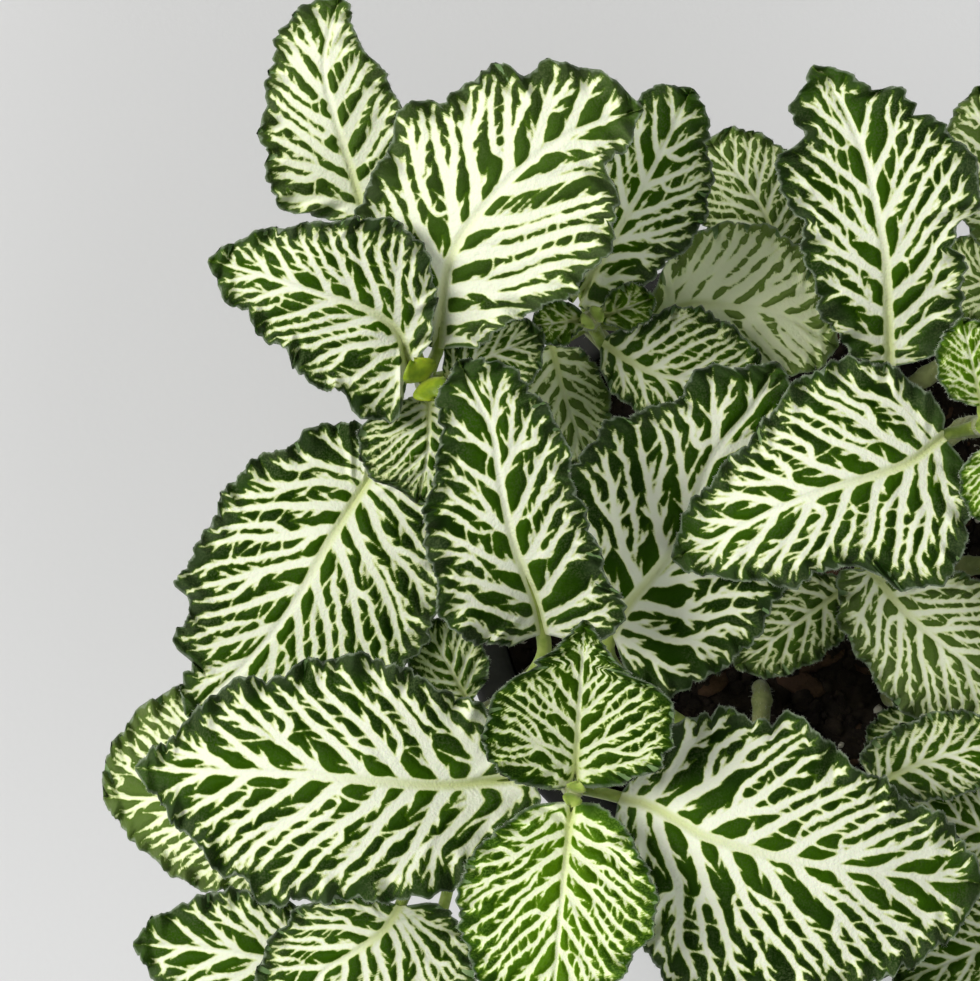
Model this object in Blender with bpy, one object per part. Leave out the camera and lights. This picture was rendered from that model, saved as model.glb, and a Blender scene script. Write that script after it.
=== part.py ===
"""Potted nerve plant: a clay pot, its soil, eleven shoots and forty-seven veined leaves."""
import bmesh
import bpy
import math

import numpy as np

# ---- driving dimensions, in millimetres ----
POT_H = 98.0          # height of the pot
POT_R = 50.0          # outer radius of the rim band
POT_R_NECK = 47.0     # outer radius of the body just under the band
POT_R_FOOT = 34.0     # outer radius at the base
BAND_H = 15.0         # height of the rim band
WALL = 3.6
FLOOR_T = 4.0
SOIL_Z = 89.0         # top of the soil
GAP = 0.35            # clear space between separate pieces
STEM_R = 1.5
BLADE_T = 0.9
PETIOLE_T = 2.0
PETIOLE_W = 2.2
CLEAR = 1.9           # least rise of one leaf above whatever is under it
CELL, HALF = 0.5, 125.0

# The plan of the plant is drawn as it looks from straight above, from an eye at this
# height over this point, PLAN units to the millimetre on the plane EYE_D below the eye.
EYE_X, EYE_Y, EYE_H, EYE_D = -44.3, 12.8, 745.0, 600.0
PLAN = 7.0


def plan(u, v, z):
    k = (EYE_H - z) / EYE_D / PLAN
    return np.array([EYE_X + (u - 490.0) * k, EYE_Y - (v - 490.5) * k, z])


# shoot: (plan position and height of its tip), (where it leaves the soil)
STEMS = {
    "a": ((425, 380, 150), (-22, 12)),
    "b": ((574, 793, 157), (-14, -14)),
    "c": ((478, 728, 126), (-23, -4)),
    "d": ((592, 318, 136), (-12, 20)),
    "e": ((765, 775, 122), (-2, -18)),
    "f": ((868, 480, 128), (5, 7)),
    "g": ((987, 425, 152), (15, 13)),
    "h": ((790, 1052, 142), (2, -30)),
    "i": ((1068, 872, 144), (18, -19)),
    "j": ((1065, 290, 140), (18, 27)),
    "k": ((1168, 560, 146), (27, 1)),
}


def oval(ub, vb, ut, vt, wl, wr, wide=0.45, n=6):
    """Midrib and margins of a plain leaf from its base, tip and half widths."""
    d = np.array([ut - ub, vt - vb], float)
    left = np.array([d[1], -d[0]]) / np.hypot(*d)
    b = 0.56
    a = b * wide / (1 - wide)
    top = wide**a * (1 - wide) ** b
    s = np.linspace(0, 1, n + 2)[1:-1]
    h = s**a * (1 - s) ** b / top
    at = np.array([ub, vb]) + np.outer(s, d)
    return (
        [(ub, vb), (ut, vt)],
        [tuple(p + left * wl * k) for p, k in zip(at, h)],
        [tuple(p - left * wr * k) for p, k in zip(at, h)],
    )


# leaf: height of base and tip, arch, roll to its left, fold along the midrib,
#       then midrib from base to tip, left margin and right margin in plan units.
# They are listed from the lowest to the highest.
LEAVES = {
    "f3": (108, 101, 2, 0.10, -0.10, *oval(850, 585, 735, 668, 42, 42)),
    "f4": (113, 110, 1, 0.00, -0.10, *oval(938, 716, 866, 755, 32, 32)),
    "d7": (113, 109, 2, 0.00, -0.15,
           [(778, 250), (764, 212), (740, 176), (708, 139)],
           [(749, 251), (706, 230), (690, 190), (692, 154)],
           [(806, 246), (808, 212), (800, 176), (782, 147), (755, 132), (730, 128)]),
    "c5": (118, 107, 4, 0.05, -0.12,
           [(330, 820), (240, 808), (170, 800), (103, 797)],
           [(312, 866), (280, 896), (240, 894), (190, 885), (150, 857), (122, 828)],
           [(345, 760), (300, 715), (240, 688), (178, 688), (134, 716), (105, 762)]),
    "c4": (121, 112, 3, -0.10, -0.10,
           [(395, 985), (300, 965), (210, 950), (133, 944)],
           [(385, 1020), (325, 1045), (255, 1042), (190, 1012), (150, 975)],
           [(385, 935), (340, 915), (289, 903), (226, 890), (195, 900), (161, 912)]),
    "c3": (129, 119, 4, 0.05, -0.12,
           [(400, 906), (382, 932), (349, 956), (317, 980), (275, 1060)],
           [(440, 905), (470, 945), (470, 1005), (430, 1060), (350, 1095)],
           [(350, 890), (300, 908), (268, 945), (252, 995), (250, 1035)]),
    "i1": (129, 123, 3, 0.00, -0.10, *oval(1032, 850, 902, 800, 55, 60)),
    "i2": (131, 126, 3, 0.10, -0.15, *oval(1045, 922, 893, 985, 66, 66)),
    "j2": (119, 114, 2, 0.00, -0.10, *oval(1012, 296, 936, 256, 44, 44)),
    "j1": (127, 122, 4, 0.00, -0.15, *oval(1024, 262, 977, 86, 53, 60, 0.5)),
    "h4": (125, 111, 4, 0.00, -0.12, *oval(764, 1085, 652, 1245, 88, 88)),
    "d6": (122, 121, 5, -0.10, -0.20,
           [(648, 322), (692, 305), (741, 308), (785, 316), (838, 347)],
           [(664, 268), (704, 230), (752, 223), (792, 240), (817, 275), (834, 312)],
           [(680, 352), (730, 372), (790, 376), (822, 366)]),
    "d5": (124, 119, 3, 0.00, -0.20,
           [(552, 346), (566, 400), (592, 468)],
           [(585, 352), (606, 385), (612, 425), (606, 455)],
           [(515, 355), (500, 390), (515, 435), (560, 466)]),
    "f2": (127, 119, 4, 0.10, -0.12,
           [(871, 570), (898, 604), (924, 629), (955, 653), (1018, 700)],
           [(906, 574), (965, 574), (1012, 605), (1030, 655)],
           [(842, 571), (838, 600), (843, 632), (873, 675), (888, 699), (932, 724), (985, 722)]),
    "e2": (125, 124, 3, 0.20, -0.10,
           [(875, 785), (930, 760), (1015, 738)],
           [(862, 752), (895, 728), (940, 712), (985, 715)],
           [(915, 800), (965, 795), (1005, 772)]),
    "c2": (127, 131, 1, 0.00, -0.10, *oval(468, 701, 424, 620, 38, 40)),
    "a5": (130, 131, 5, -0.10, -0.12,
           [(368, 228), (345, 150), (335, 118), (324, 63), (339, -3)],
           [(335, 220), (290, 212), (271, 192), (267, 165), (261, 130), (268, 82), (274, 47), (290, 18), (315, 0)],
           [(398, 207), (409, 160), (403, 110), (390, 84), (378, 64), (360, 43), (352, 30), (352, 10)]),
    "a6": (132, 124, 6, 0.05, -0.12,
           [(372, 474), (330, 540), (290, 610), (240, 670), (186, 716)],
           [(410, 452), (438, 474), (447, 515), (444, 578), (426, 640), (370, 700), (290, 738), (225, 742)],
           [(366, 434), (340, 420), (289, 443), (235, 477), (205, 535), (176, 582), (190, 602), (175, 644), (192, 663), (181, 690)]),
    "d3": (127, 136, 3, 0.22, -0.10,
           [(584, 290), (618, 230), (655, 165), (692, 88)],
           [(560, 262), (556, 205), (585, 150), (625, 108), (660, 86)],
           [(622, 298), (661, 269), (698, 233), (711, 185), (708, 141), (706, 108)]),
    "d4": (128, 130, 3, 0.10, -0.15,
           [(603, 343), (633, 363), (675, 378), (764, 374)],
           [(640, 318), (690, 306), (735, 328), (757, 350)],
           [(606, 382), (640, 414), (690, 428), (735, 412)]),
    "d1": (134, 137, 1, 0.00, 0.10, *oval(577, 320, 532, 326, 24, 24)),
    "d2": (134, 137, 1, 0.00, 0.10, *oval(607, 315, 655, 297, 23, 23)),
    "e1": (136, 141, 5, 0.00, -0.12,
           [(612, 634), (628, 605), (654, 574), (685, 531), (713, 458), (755, 405), (778, 362)],
           [(582, 605), (562, 545), (570, 475), (603, 426), (641, 411), (675, 399), (707, 365), (745, 368)],
           [(630, 676), (660, 692), (688, 690), (707, 678), (745, 650), (778, 600), (805, 540), (812, 470), (802, 405)]),
    "f1": (139, 147, 5, 0.00, 0.10,
           [(890, 366), (888, 303), (886, 261), (879, 218), (863, 151), (835, 90), (812, 66)],
           [(862, 360), (838, 338), (820, 308), (805, 252), (790, 202), (776, 178), (779, 158), (800, 138), (792, 108), (803, 84)],
           [(925, 358), (952, 332), (965, 275), (958, 228), (980, 205), (977, 166), (950, 132), (920, 106), (898, 88), (876, 89), (858, 77), (836, 70)]),
    "i4": (139, 124, 6, 0.05, -0.12, *oval(1086, 914, 1160, 1118, 104, 104)),
    "i3": (140, 131, 5, 0.00, -0.12, *oval(1110, 852, 1297, 822, 100, 104)),
    "h1": (137, 130, 5, 0.00, -0.12, *oval(747, 1058, 566, 1152, 96, 98)),
    "h2": (137, 122, 6, 0.00, -0.12, *oval(800, 1093, 832, 1300, 104, 104)),
    "h3": (137, 129, 5, 0.00, -0.12, *oval(833, 1052, 1012, 1127, 96, 96)),
    "j3": (136, 143, 5, 0.00, -0.10, *oval(1088, 246, 1198, 58, 95, 98)),
    "j4": (134, 134, 5, 0.00, -0.12, *oval(1112, 292, 1312, 262, 98, 98)),
    "k4": (138, 131, 4, 0.00, -0.12, *oval(1138, 596, 1030, 702, 80, 82)),
    "k1": (142, 138, 5, 0.00, -0.12, *oval(1203, 524, 1372, 388, 100, 100)),
    "k2": (142, 130, 6, 0.00, -0.12, *oval(1203, 594, 1388, 700, 104, 104)),
    "k3": (141, 148, 4, 0.00, -0.10, *oval(1142, 524, 1040, 376, 86, 88)),
    "g1": (148, 145, 6, 0.00, -0.14,
           [(944, 436), (913, 460), (882, 473), (829, 489), (776, 510), (724, 536), (672, 559)],
           [(966, 468), (970, 521), (953, 574), (920, 588), (901, 592), (877, 574), (833, 567), (795, 586), (749, 580), (698, 576)],
           [(943, 412), (915, 382), (873, 360), (829, 364), (795, 384), (778, 403), (751, 437), (711, 480), (682, 520)]),
    "a4": (143, 140, 2, 0.00, -0.10, *oval(445, 376, 544, 332, 40, 46)),
    "a3": (145, 141, 3, 0.00, -0.10,
           [(429, 402), (428, 450), (418, 504)],
           [(470, 410), (484, 445), (474, 482), (446, 502)],
           [(388, 406), (362, 425), (359, 452), (372, 479), (395, 488)]),
    "a1": (146, 156, 6, 0.00, -0.05,
           [(438, 348), (450, 260), (490, 200), (560, 140), (643, 108)],
           [(405, 336), (372, 296), (353, 250), (360, 200), (383, 160), (400, 114), (428, 98), (444, 104), (470, 80), (505, 64), (525, 76), (544, 64), (584, 66), (618, 84)],
           [(489, 342), (517, 317), (565, 298), (601, 260), (614, 235), (616, 193), (606, 168), (624, 150)]),
    "a2": (146, 149, 5, -0.10, -0.12,
           [(408, 365), (396, 330), (363, 308), (310, 291), (255, 273), (208, 260)],
           [(397, 416), (377, 421), (357, 414), (342, 393), (310, 384), (294, 366), (286, 350), (265, 341), (248, 316), (225, 298)],
           [(432, 330), (434, 282), (418, 239), (384, 218), (342, 220), (297, 225), (265, 230), (235, 241)]),
    "c1": (148, 163, 5, 0.00, -0.12,
           [(543, 634), (536, 603), (525, 574), (515, 548), (506, 510), (498, 468), (492, 430), (458, 360)],
           [(500, 646), (447, 628), (433, 574), (424, 523), (430, 490), (440, 447), (438, 400)],
           [(590, 642), (628, 616), (609, 580), (595, 540), (576, 489), (563, 433), (540, 399), (500, 362)]),
    "b3": (148, 145, 7, 0.00, -0.12,
           [(497, 781), (430, 785), (300, 775), (200, 771), (135, 768)],
           [(510, 806), (502, 834), (483, 860), (458, 882), (425, 898), (390, 901), (325, 901), (262, 901), (244, 880), (220, 872), (198, 848), (178, 827), (152, 793)],
           [(488, 738), (465, 699), (425, 682), (396, 665), (372, 656), (340, 657), (305, 662), (275, 675), (232, 682), (205, 700), (190, 720), (160, 745)]),
    "b4": (149, 145, 7, 0.00, -0.12,
           [(620, 798), (650, 806), (682, 823), (713, 839), (797, 861), (903, 875), (985, 884)],
           [(652, 752), (672, 730), (700, 713), (725, 710), (765, 719), (797, 716), (826, 738), (850, 764), (880, 776), (905, 798), (930, 811), (952, 824), (970, 852)],
           [(614, 838), (625, 880), (645, 922), (655, 958), (674, 986), (725, 1000), (785, 1000), (845, 990), (900, 974), (945, 942), (973, 910)]),
    "b1": (154, 165, 2, 0.00, 0.10,
           [(575, 774), (585, 620)],
           [(530, 783), (496, 773), (484, 746), (487, 718), (507, 686), (530, 665), (556, 648), (572, 630)],
           [(622, 781), (661, 767), (673, 744), (668, 706), (652, 685), (624, 668), (606, 647), (595, 629)]),
    "b2": (154, 160, 4, 0.00, 0.05,
           [(571, 812), (562, 900), (552, 1012)],
           [(601, 813), (618, 823), (638, 847), (653, 888), (647, 928), (630, 960), (612, 988), (585, 1010)],
           [(541, 812), (516, 817), (496, 831), (474, 849), (460, 885), (460, 930), (471, 964), (494, 1000), (527, 1014)]),
    "g2": (152, 160, 1, 0.00, 0.10, *oval(982, 405, 962, 318, 36, 44)),
    "g3": (152, 158, 1, 0.00, 0.10, *oval(991, 446, 1002, 530, 36, 36)),
}

ROWS = np.array([0.0, 0.12, 0.28, 0.46, 0.64, 0.82, 1.0])
ACROSS = np.array([-1.0, -0.5, 0.0, 0.5, 1.0])


def curve(points, s):
    """Points of a smooth curve through the given ones, at fractions s of its length."""
    p = np.array(points, float)
    if len(p) == 2:
        return p[0] + np.outer(s, p[1] - p[0])
    e = np.vstack([2 * p[0] - p[1], p, 2 * p[-1] - p[-2]])
    w = np.linspace(0, 1, 17)[:-1, None]
    out = []
    for i in range(1, len(e) - 2):
        a, b, c, d = e[i - 1], e[i], e[i + 1], e[i + 2]
        out.append(b + 0.5 * w * (c - a + w * (2 * a - 5 * b + 4 * c - d + w * (3 * (b - c) + d - a))))
    out = np.vstack(out + [p[-1:]])
    run = np.concatenate([[0], np.cumsum(np.hypot(*np.diff(out, axis=0).T))])
    at = np.asarray(s) * run[-1]
    return np.stack([np.interp(at, run, out[:, k]) for k in (0, 1)], 1)


def blade_plan(leaf, s):
    """Midrib, left margin and right margin at fractions s, in plan units."""
    zb, zt, arch, roll, fold, mid, left, right = leaf
    m = curve(mid, s)
    to_left, to_right = np.subtract(left[0], mid[0]), np.subtract(right[0], mid[0])
    across = to_left / np.hypot(*to_left) - to_right / np.hypot(*to_right)
    across /= np.hypot(*across)
    ahead = np.array([-across[1], across[0]])
    last = np.subtract(mid[-1], mid[-2]) / np.hypot(*np.subtract(mid[-1], mid[-2]))
    out = [m]
    for side, pts in ((1, left), (-1, right)):
        to = np.subtract(pts[0], mid[0])
        back = max(0.0, -np.dot(to, ahead) / np.dot(to, side * across)) * 1.2
        a = mid[0] + (side * across - min(back, 0.8) * ahead) * PETIOLE_W / 2 * PLAN
        b = mid[-1] + side * np.array([last[1], -last[0]]) * 0.35 * PLAN
        out.append(curve([tuple(a), *pts, tuple(b)], s))
    return out


def blade_grid(leaf, rows=ROWS, across=ACROSS):
    """(rows, across, 3) points of a blade, right edge first, before it settles on others."""
    zb, zt, arch, roll, fold = leaf[:5]
    m, l, r = blade_plan(leaf, rows)
    z = zb + (zt - zb) * rows + arch * 4 * rows * (1 - rows)
    out = np.zeros((len(rows), len(across), 3))
    for i in range(len(rows)):
        for j, a in enumerate(across):
            p = m[i] + abs(a) * ((l if a > 0 else r)[i] - m[i])
            y = np.hypot(*(p - m[i])) / PLAN
            out[i, j] = plan(p[0], p[1], z[i] + roll * y * np.sign(a) + fold * y)
    return out


def straight(key):
    """Length of a stem's upright end, which carries its leaves."""
    return min(30.0, 0.5 * (STEMS[key][0][2] - SOIL_Z))


def stem_path(key, n=6):
    """Middle line of a stem, from inside the soil's well up to its tip."""
    (u, v, z), (rx, ry) = STEMS[key]
    top = plan(u, v, z)
    foot = np.array([rx, ry, SOIL_Z + GAP])
    upright = straight(key)
    shoot = np.array([top[0], top[1], z - upright])
    rise = shoot[2] - foot[2]
    c1 = foot + [0, 0, 0.5 * rise]
    c2 = shoot - [0, 0, 0.3 * rise] - 0.25 * (shoot - foot) * [1, 1, 0]
    w = np.linspace(0, 1, n)[:, None]
    path = (1 - w) ** 3 * foot + 3 * (1 - w) ** 2 * w * c1 + 3 * (1 - w) * w**2 * c2 + w**3 * shoot
    return np.vstack([path, shoot + [0, 0, 0.55 * upright], top])


def petiole_rows(key, grid, n=1):
    """Rows of the leaf stalk, from beside the stem to the blade's first row."""
    (u, v, z), _ = STEMS[key[0]]
    base = grid[0].mean(0)
    axis = grid[2].mean(0) - grid[0].mean(0)
    centre = plan(u, v, z)
    go = base[:2] - centre[:2]
    gap = np.hypot(*go)
    drop = min(7.0, 0.3 + 0.7 * max(gap - STEM_R, 0.0))
    zn = min(max(base[2] - drop, z - straight(key[0]) + 2.0), z - 1.5)
    go = go / gap
    flat = axis[:2] / np.hypot(*axis[:2])
    start = np.array([*(centre[:2] + go * (STEM_R + 0.45)), zn])
    mid = (start + base) / 2 - [0, 0, 0.5]
    if gap >= 7:
        bent = np.array([*(base[:2] - flat * min(0.3 * gap, 7.0)), base[2] - 3.0])
        if np.dot(bent[:2] - centre[:2], go) >= 0.35 * gap:
            mid = bent
    n += int(gap >= 3.2) + int(gap >= 7) + int(gap >= 14) + int(gap >= 24)
    rows = []
    for w in np.linspace(0, 1, n + 1)[:-1]:
        p = (1 - w) ** 2 * start + 2 * (1 - w) * w * mid + w * w * base
        t = 2 * (1 - w) * (mid - start) + 2 * w * (base - mid)
        t = t[:2] / (np.hypot(*t[:2]) + 1e-9)
        left = np.array([t[1], -t[0], 0.0])
        rows.append([p - left * a * PETIOLE_W / 2 for a in ACROSS])
    return np.array(rows)


def raster(tri):
    """Cells that a triangle covers in plan, and its height in each."""
    lo = np.floor((tri[:, :2].min(0) + HALF) / CELL).astype(int)
    hi = np.ceil((tri[:, :2].max(0) + HALF) / CELL).astype(int)
    ii, jj = np.mgrid[lo[0] : hi[0] + 1, lo[1] : hi[1] + 1]
    x, y = ii * CELL - HALF, jj * CELL - HALF
    (x0, y0, z0), (x1, y1, z1), (x2, y2, z2) = tri
    det = (y1 - y2) * (x0 - x2) + (x2 - x1) * (y0 - y2)
    if abs(det) < 1e-9:
        return None
    a = ((y1 - y2) * (x - x2) + (x2 - x1) * (y - y2)) / det
    b = ((y2 - y0) * (x - x2) + (x0 - x2) * (y - y2)) / det
    c = 1 - a - b
    grow = 0.35 / max(abs(det) ** 0.5, 0.5)
    inside = (a > -grow) & (b > -grow) & (c > -grow)
    if not inside.any():
        return None
    return ii[inside], jj[inside], (a * z0 + b * z1 + c * z2)[inside]


def triangles(nr, na):
    out = []
    for i in range(nr - 1):
        for j in range(na - 1):
            p, q = i * na + j, i * na + j + 1
            r, s = (i + 1) * na + j, (i + 1) * na + j + 1
            out += [(p, q, s), (p, s, r)]
    return out


def settle():
    """Every leaf's grid of points, stalk rows first, each clear above those under it."""
    size = int(2 * HALF / CELL) + 2
    low = -1e3
    stems = {}
    for key in STEMS:
        sheet = np.full((size, size), low)
        path = stem_path(key)
        for p, q in zip(path[:-1], path[1:]):
            for w in np.linspace(0, 1, 40):
                c = p + (q - p) * w
                r = STEM_R + 0.5
                n = int(r / CELL) + 1
                ci, cj = int(round((c[0] + HALF) / CELL)), int(round((c[1] + HALF) / CELL))
                for i in range(ci - n, ci + n + 1):
                    for j in range(cj - n, cj + n + 1):
                        if (i * CELL - HALF - c[0]) ** 2 + (j * CELL - HALF - c[1]) ** 2 <= r * r:
                            sheet[i, j] = max(sheet[i, j], c[2] + 0.8)
        stems[key] = sheet
    leaves = np.full((size, size), low)
    done, lifts = {}, {}
    for key, leaf in LEAVES.items():
        blade = blade_grid(leaf)
        grid = np.concatenate([petiole_rows(key, blade), blade])
        nr, na = grid.shape[:2]
        npet = nr - len(ROWS)
        thick = np.where(np.arange(nr) <= npet, PETIOLE_T, BLADE_T)[:, None].repeat(na, 1).reshape(-1)
        under = leaves.copy()
        for other, sheet in stems.items():
            if other != key[0]:
                under = np.maximum(under, sheet)
        tris = triangles(nr, na)
        flat = grid.reshape(-1, 3)
        lift = np.zeros(len(flat))
        for _ in range(40):
            need = np.zeros(len(flat))
            now = flat.copy()
            now[:, 2] += lift - thick
            for t in tris:
                got = raster(now[list(t)])
                if got is None:
                    continue
                short = (under[got[0], got[1]] + CLEAR - got[2]).max()
                if short > 0:
                    for k in t:
                        need[k] = max(need[k], short)
            if need.max() < 0.02:
                break
            lift += need
            g = lift.reshape(nr, na)
            pad = np.pad(g, 1, mode="edge")
            mean = (pad[:-2, 1:-1] + pad[2:, 1:-1] + pad[1:-1, :-2] + pad[1:-1, 2:]) / 4
            lift = np.maximum(g, 0.92 * mean).reshape(-1)
        flat[:, 2] += lift
        lifts[key] = lift.max()
        grid = flat.reshape(nr, na, 3)
        for t in tris:
            got = raster(flat[list(t)])
            if got is not None:
                np.maximum.at(leaves, (got[0], got[1]), got[2])
        done[key] = (grid, npet, thick.reshape(nr, na))
    return done, lifts


# ---- making the bodies ----
def material(name, colour, rough):
    mat = bpy.data.materials.new(name)
    mat.use_nodes = True
    shader = mat.node_tree.nodes["Principled BSDF"]
    shader.inputs["Base Color"].default_value = (*colour, 1)
    shader.inputs["Roughness"].default_value = rough
    return mat


def body(name, points, faces, mat, smooth=True):
    mesh = bpy.data.meshes.new(name)
    mesh.from_pydata([tuple(np.asarray(p) / 1000.0) for p in points], [], faces)
    mesh.materials.append(mat)
    if smooth:
        mesh.shade_smooth()
    obj = bpy.data.objects.new(name, mesh)
    bpy.context.collection.objects.link(obj)
    return obj


def lathe(profile, sides):
    """Closed profile of (radius, height) turned about the pot's axis; radius 0 makes a point."""
    points, rings = [], []
    for r, z in profile:
        if r == 0:
            rings.append([len(points)] * sides)
            points.append((0, 0, z))
        else:
            rings.append(list(range(len(points), len(points) + sides)))
            points += [(r * math.cos(t), r * math.sin(t), z) for t in np.arange(sides) * 2 * math.pi / sides]
    faces = []
    for a, b in zip(rings[:-1], rings[1:]):
        for i in range(sides):
            j = (i + 1) % sides
            face = [a[i], a[j], b[j], b[i]]
            face = [k for n, k in enumerate(face) if k != face[n - 1]]
            if len(face) > 2:
                faces.append(tuple(face))
    return points, faces


def inner_radius(z):
    """Inside of the pot wall at a height."""
    neck = POT_R_FOOT + (POT_R_NECK - POT_R_FOOT) * z / (POT_H - BAND_H)
    return min(neck, POT_R_NECK) - WALL


def make_pot(mat):
    outer = [(0, 0), (POT_R_FOOT - 1.2, 0), (POT_R_FOOT, 1.2), (POT_R_NECK, POT_H - BAND_H)]
    rim = [(POT_R - 0.8, POT_H - BAND_H + 0.4), (POT_R, POT_H - BAND_H + 1.6), (POT_R, POT_H - 1.5),
           (POT_R - 1.2, POT_H), (inner_radius(POT_H) + 1.2, POT_H), (inner_radius(POT_H), POT_H - 1.4)]
    inner = [(inner_radius(POT_H - BAND_H), POT_H - BAND_H), (inner_radius(FLOOR_T + 1.5), FLOOR_T + 1.5),
             (inner_radius(FLOOR_T) - 1.5, FLOOR_T), (0, FLOOR_T)]
    return body("pot", *lathe(outer + rim + inner, 40), mat)


def make_soil(mat):
    low, top = FLOOR_T + GAP, SOIL_Z
    r0, r1 = inner_radius(low) - 1.5 - GAP, inner_radius(top) - GAP
    r2 = inner_radius(FLOOR_T + 1.5) - GAP
    mound = [(r1, top - 2.2), (0.8 * r1, top - 0.7), (0.45 * r1, top), (0, top)]
    neck = [(inner_radius(POT_H - BAND_H) - GAP, POT_H - BAND_H)] if top - 2.2 > POT_H - BAND_H else []
    return body("soil", *lathe([(0, low), (r0, low), (r2, low + 1.7), *neck, *mound], 36), mat)


def make_stem(key, mat, sides=6):
    """A round stem, swollen at the tip where the young pair of leaves sits."""
    path = stem_path(key)
    points, faces = [], []
    n = len(path)
    for i, p in enumerate(path):
        t = path[min(i + 1, n - 1)] - path[max(i - 1, 0)]
        t = t / np.linalg.norm(t)
        if i == 0:
            t = np.array([0, 0, 1.0])
        a = np.cross(t, [0, 1, 0])
        a /= np.linalg.norm(a)
        b = np.cross(t, a)
        r = STEM_R * (0.9 if i == 0 else 0.62 if i == n - 1 else 1.0)
        points += [p + r * (math.cos(w) * a + math.sin(w) * b) for w in np.arange(sides) * 2 * math.pi / sides]
    points.append(path[-1] + [0, 0, 1.1])
    for i in range(n - 1):
        for j in range(sides):
            k = (j + 1) % sides
            faces.append((i * sides + j, i * sides + k, (i + 1) * sides + k, (i + 1) * sides + j))
    faces.append(tuple(range(sides))[::-1])
    faces += [((n - 1) * sides + j, (n - 1) * sides + (j + 1) % sides, n * sides) for j in range(sides)]
    return body("stem_" + key, points, faces, mat)


def make_leaf(key, grid, thick, mat):
    """One leaf with its stalk: the settled grid above, the same grid lowered below, and a rim."""
    nr, na = grid.shape[:2]
    top = grid.reshape(-1, 3)
    under = top.copy()
    under[:, 2] -= thick.reshape(-1)
    k = len(top)
    tris = triangles(nr, na)
    faces = [(a, b, c) for a, b, c in tris] + [(c + k, b + k, a + k) for a, b, c in tris]
    rim = [j for j in range(na)] + [i * na + na - 1 for i in range(1, nr)]
    rim += [(nr - 1) * na + j for j in range(na - 2, -1, -1)] + [i * na for i in range(nr - 2, 0, -1)]
    for a, b in zip(rim, rim[1:] + rim[:1]):
        faces.append((b, a, a + k, b + k))
    return body("leaf_" + key, np.vstack([top, under]), faces, mat)


def main():
    for obj in list(bpy.data.objects):
        bpy.data.objects.remove(obj, do_unlink=True)
    make_pot(material("dark_stoneware", (0.040, 0.039, 0.039), 0.75))
    make_soil(material("potting_soil", (0.05, 0.035, 0.025), 0.95))
    done, lifts = settle()
    for key in STEMS:
        make_stem(key, material("stem_%s_green" % key, (0.45, 0.55, 0.25), 0.55))
    for key, (grid, npet, thick) in done.items():
        make_leaf(key, grid, thick, material("leaf_%s_green" % key, (0.16, 0.30, 0.12), 0.5))
    for obj in bpy.data.objects:
        mesh = bmesh.new()
        mesh.from_mesh(obj.data)
        bmesh.ops.recalc_face_normals(mesh, faces=mesh.faces)
        mesh.to_mesh(obj.data)
        mesh.free()


main()
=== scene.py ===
"""Looks of the potted nerve plant: fine blades with grown veins, stems, buds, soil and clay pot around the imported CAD."""
import math

import bpy
import numpy as np
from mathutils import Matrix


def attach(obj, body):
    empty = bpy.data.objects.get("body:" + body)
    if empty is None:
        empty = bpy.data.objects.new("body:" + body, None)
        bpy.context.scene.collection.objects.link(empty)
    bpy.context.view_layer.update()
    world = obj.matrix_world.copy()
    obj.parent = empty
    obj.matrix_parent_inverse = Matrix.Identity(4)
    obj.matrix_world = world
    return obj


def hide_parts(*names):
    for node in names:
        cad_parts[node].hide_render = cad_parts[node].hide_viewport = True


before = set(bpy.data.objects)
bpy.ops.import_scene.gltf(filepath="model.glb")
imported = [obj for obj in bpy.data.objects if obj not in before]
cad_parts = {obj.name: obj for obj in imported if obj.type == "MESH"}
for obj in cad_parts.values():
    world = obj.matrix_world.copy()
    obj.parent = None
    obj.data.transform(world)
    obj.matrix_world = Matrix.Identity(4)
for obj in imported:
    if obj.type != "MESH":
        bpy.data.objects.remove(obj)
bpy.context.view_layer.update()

MM = 0.001

# ---- the plant's layout, as the CAD has it, in millimetres ----
# ---- driving dimensions, in millimetres ----
POT_H = 98.0          # height of the pot
POT_R = 50.0          # outer radius of the rim band
POT_R_NECK = 47.0     # outer radius of the body just under the band
POT_R_FOOT = 34.0     # outer radius at the base
BAND_H = 15.0         # height of the rim band
WALL = 3.6
FLOOR_T = 4.0
SOIL_Z = 89.0         # top of the soil
GAP = 0.35            # clear space between separate pieces
STEM_R = 1.5
BLADE_T = 0.9
PETIOLE_T = 2.0
PETIOLE_W = 2.2
CLEAR = 1.9           # least rise of one leaf above whatever is under it
CELL, HALF = 0.5, 125.0

# The plan of the plant is drawn as it looks from straight above, from an eye at this
# height over this point, PLAN units to the millimetre on the plane EYE_D below the eye.
EYE_X, EYE_Y, EYE_H, EYE_D = -44.3, 12.8, 745.0, 600.0
PLAN = 7.0


def plan(u, v, z):
    k = (EYE_H - z) / EYE_D / PLAN
    return np.array([EYE_X + (u - 490.0) * k, EYE_Y - (v - 490.5) * k, z])


# shoot: (plan position and height of its tip), (where it leaves the soil)
STEMS = {
    "a": ((425, 380, 150), (-22, 12)),
    "b": ((574, 793, 157), (-14, -14)),
    "c": ((478, 728, 126), (-23, -4)),
    "d": ((592, 318, 136), (-12, 20)),
    "e": ((765, 775, 122), (-2, -18)),
    "f": ((868, 480, 128), (5, 7)),
    "g": ((987, 425, 152), (15, 13)),
    "h": ((790, 1052, 142), (2, -30)),
    "i": ((1068, 872, 144), (18, -19)),
    "j": ((1065, 290, 140), (18, 27)),
    "k": ((1168, 560, 146), (27, 1)),
}


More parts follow.
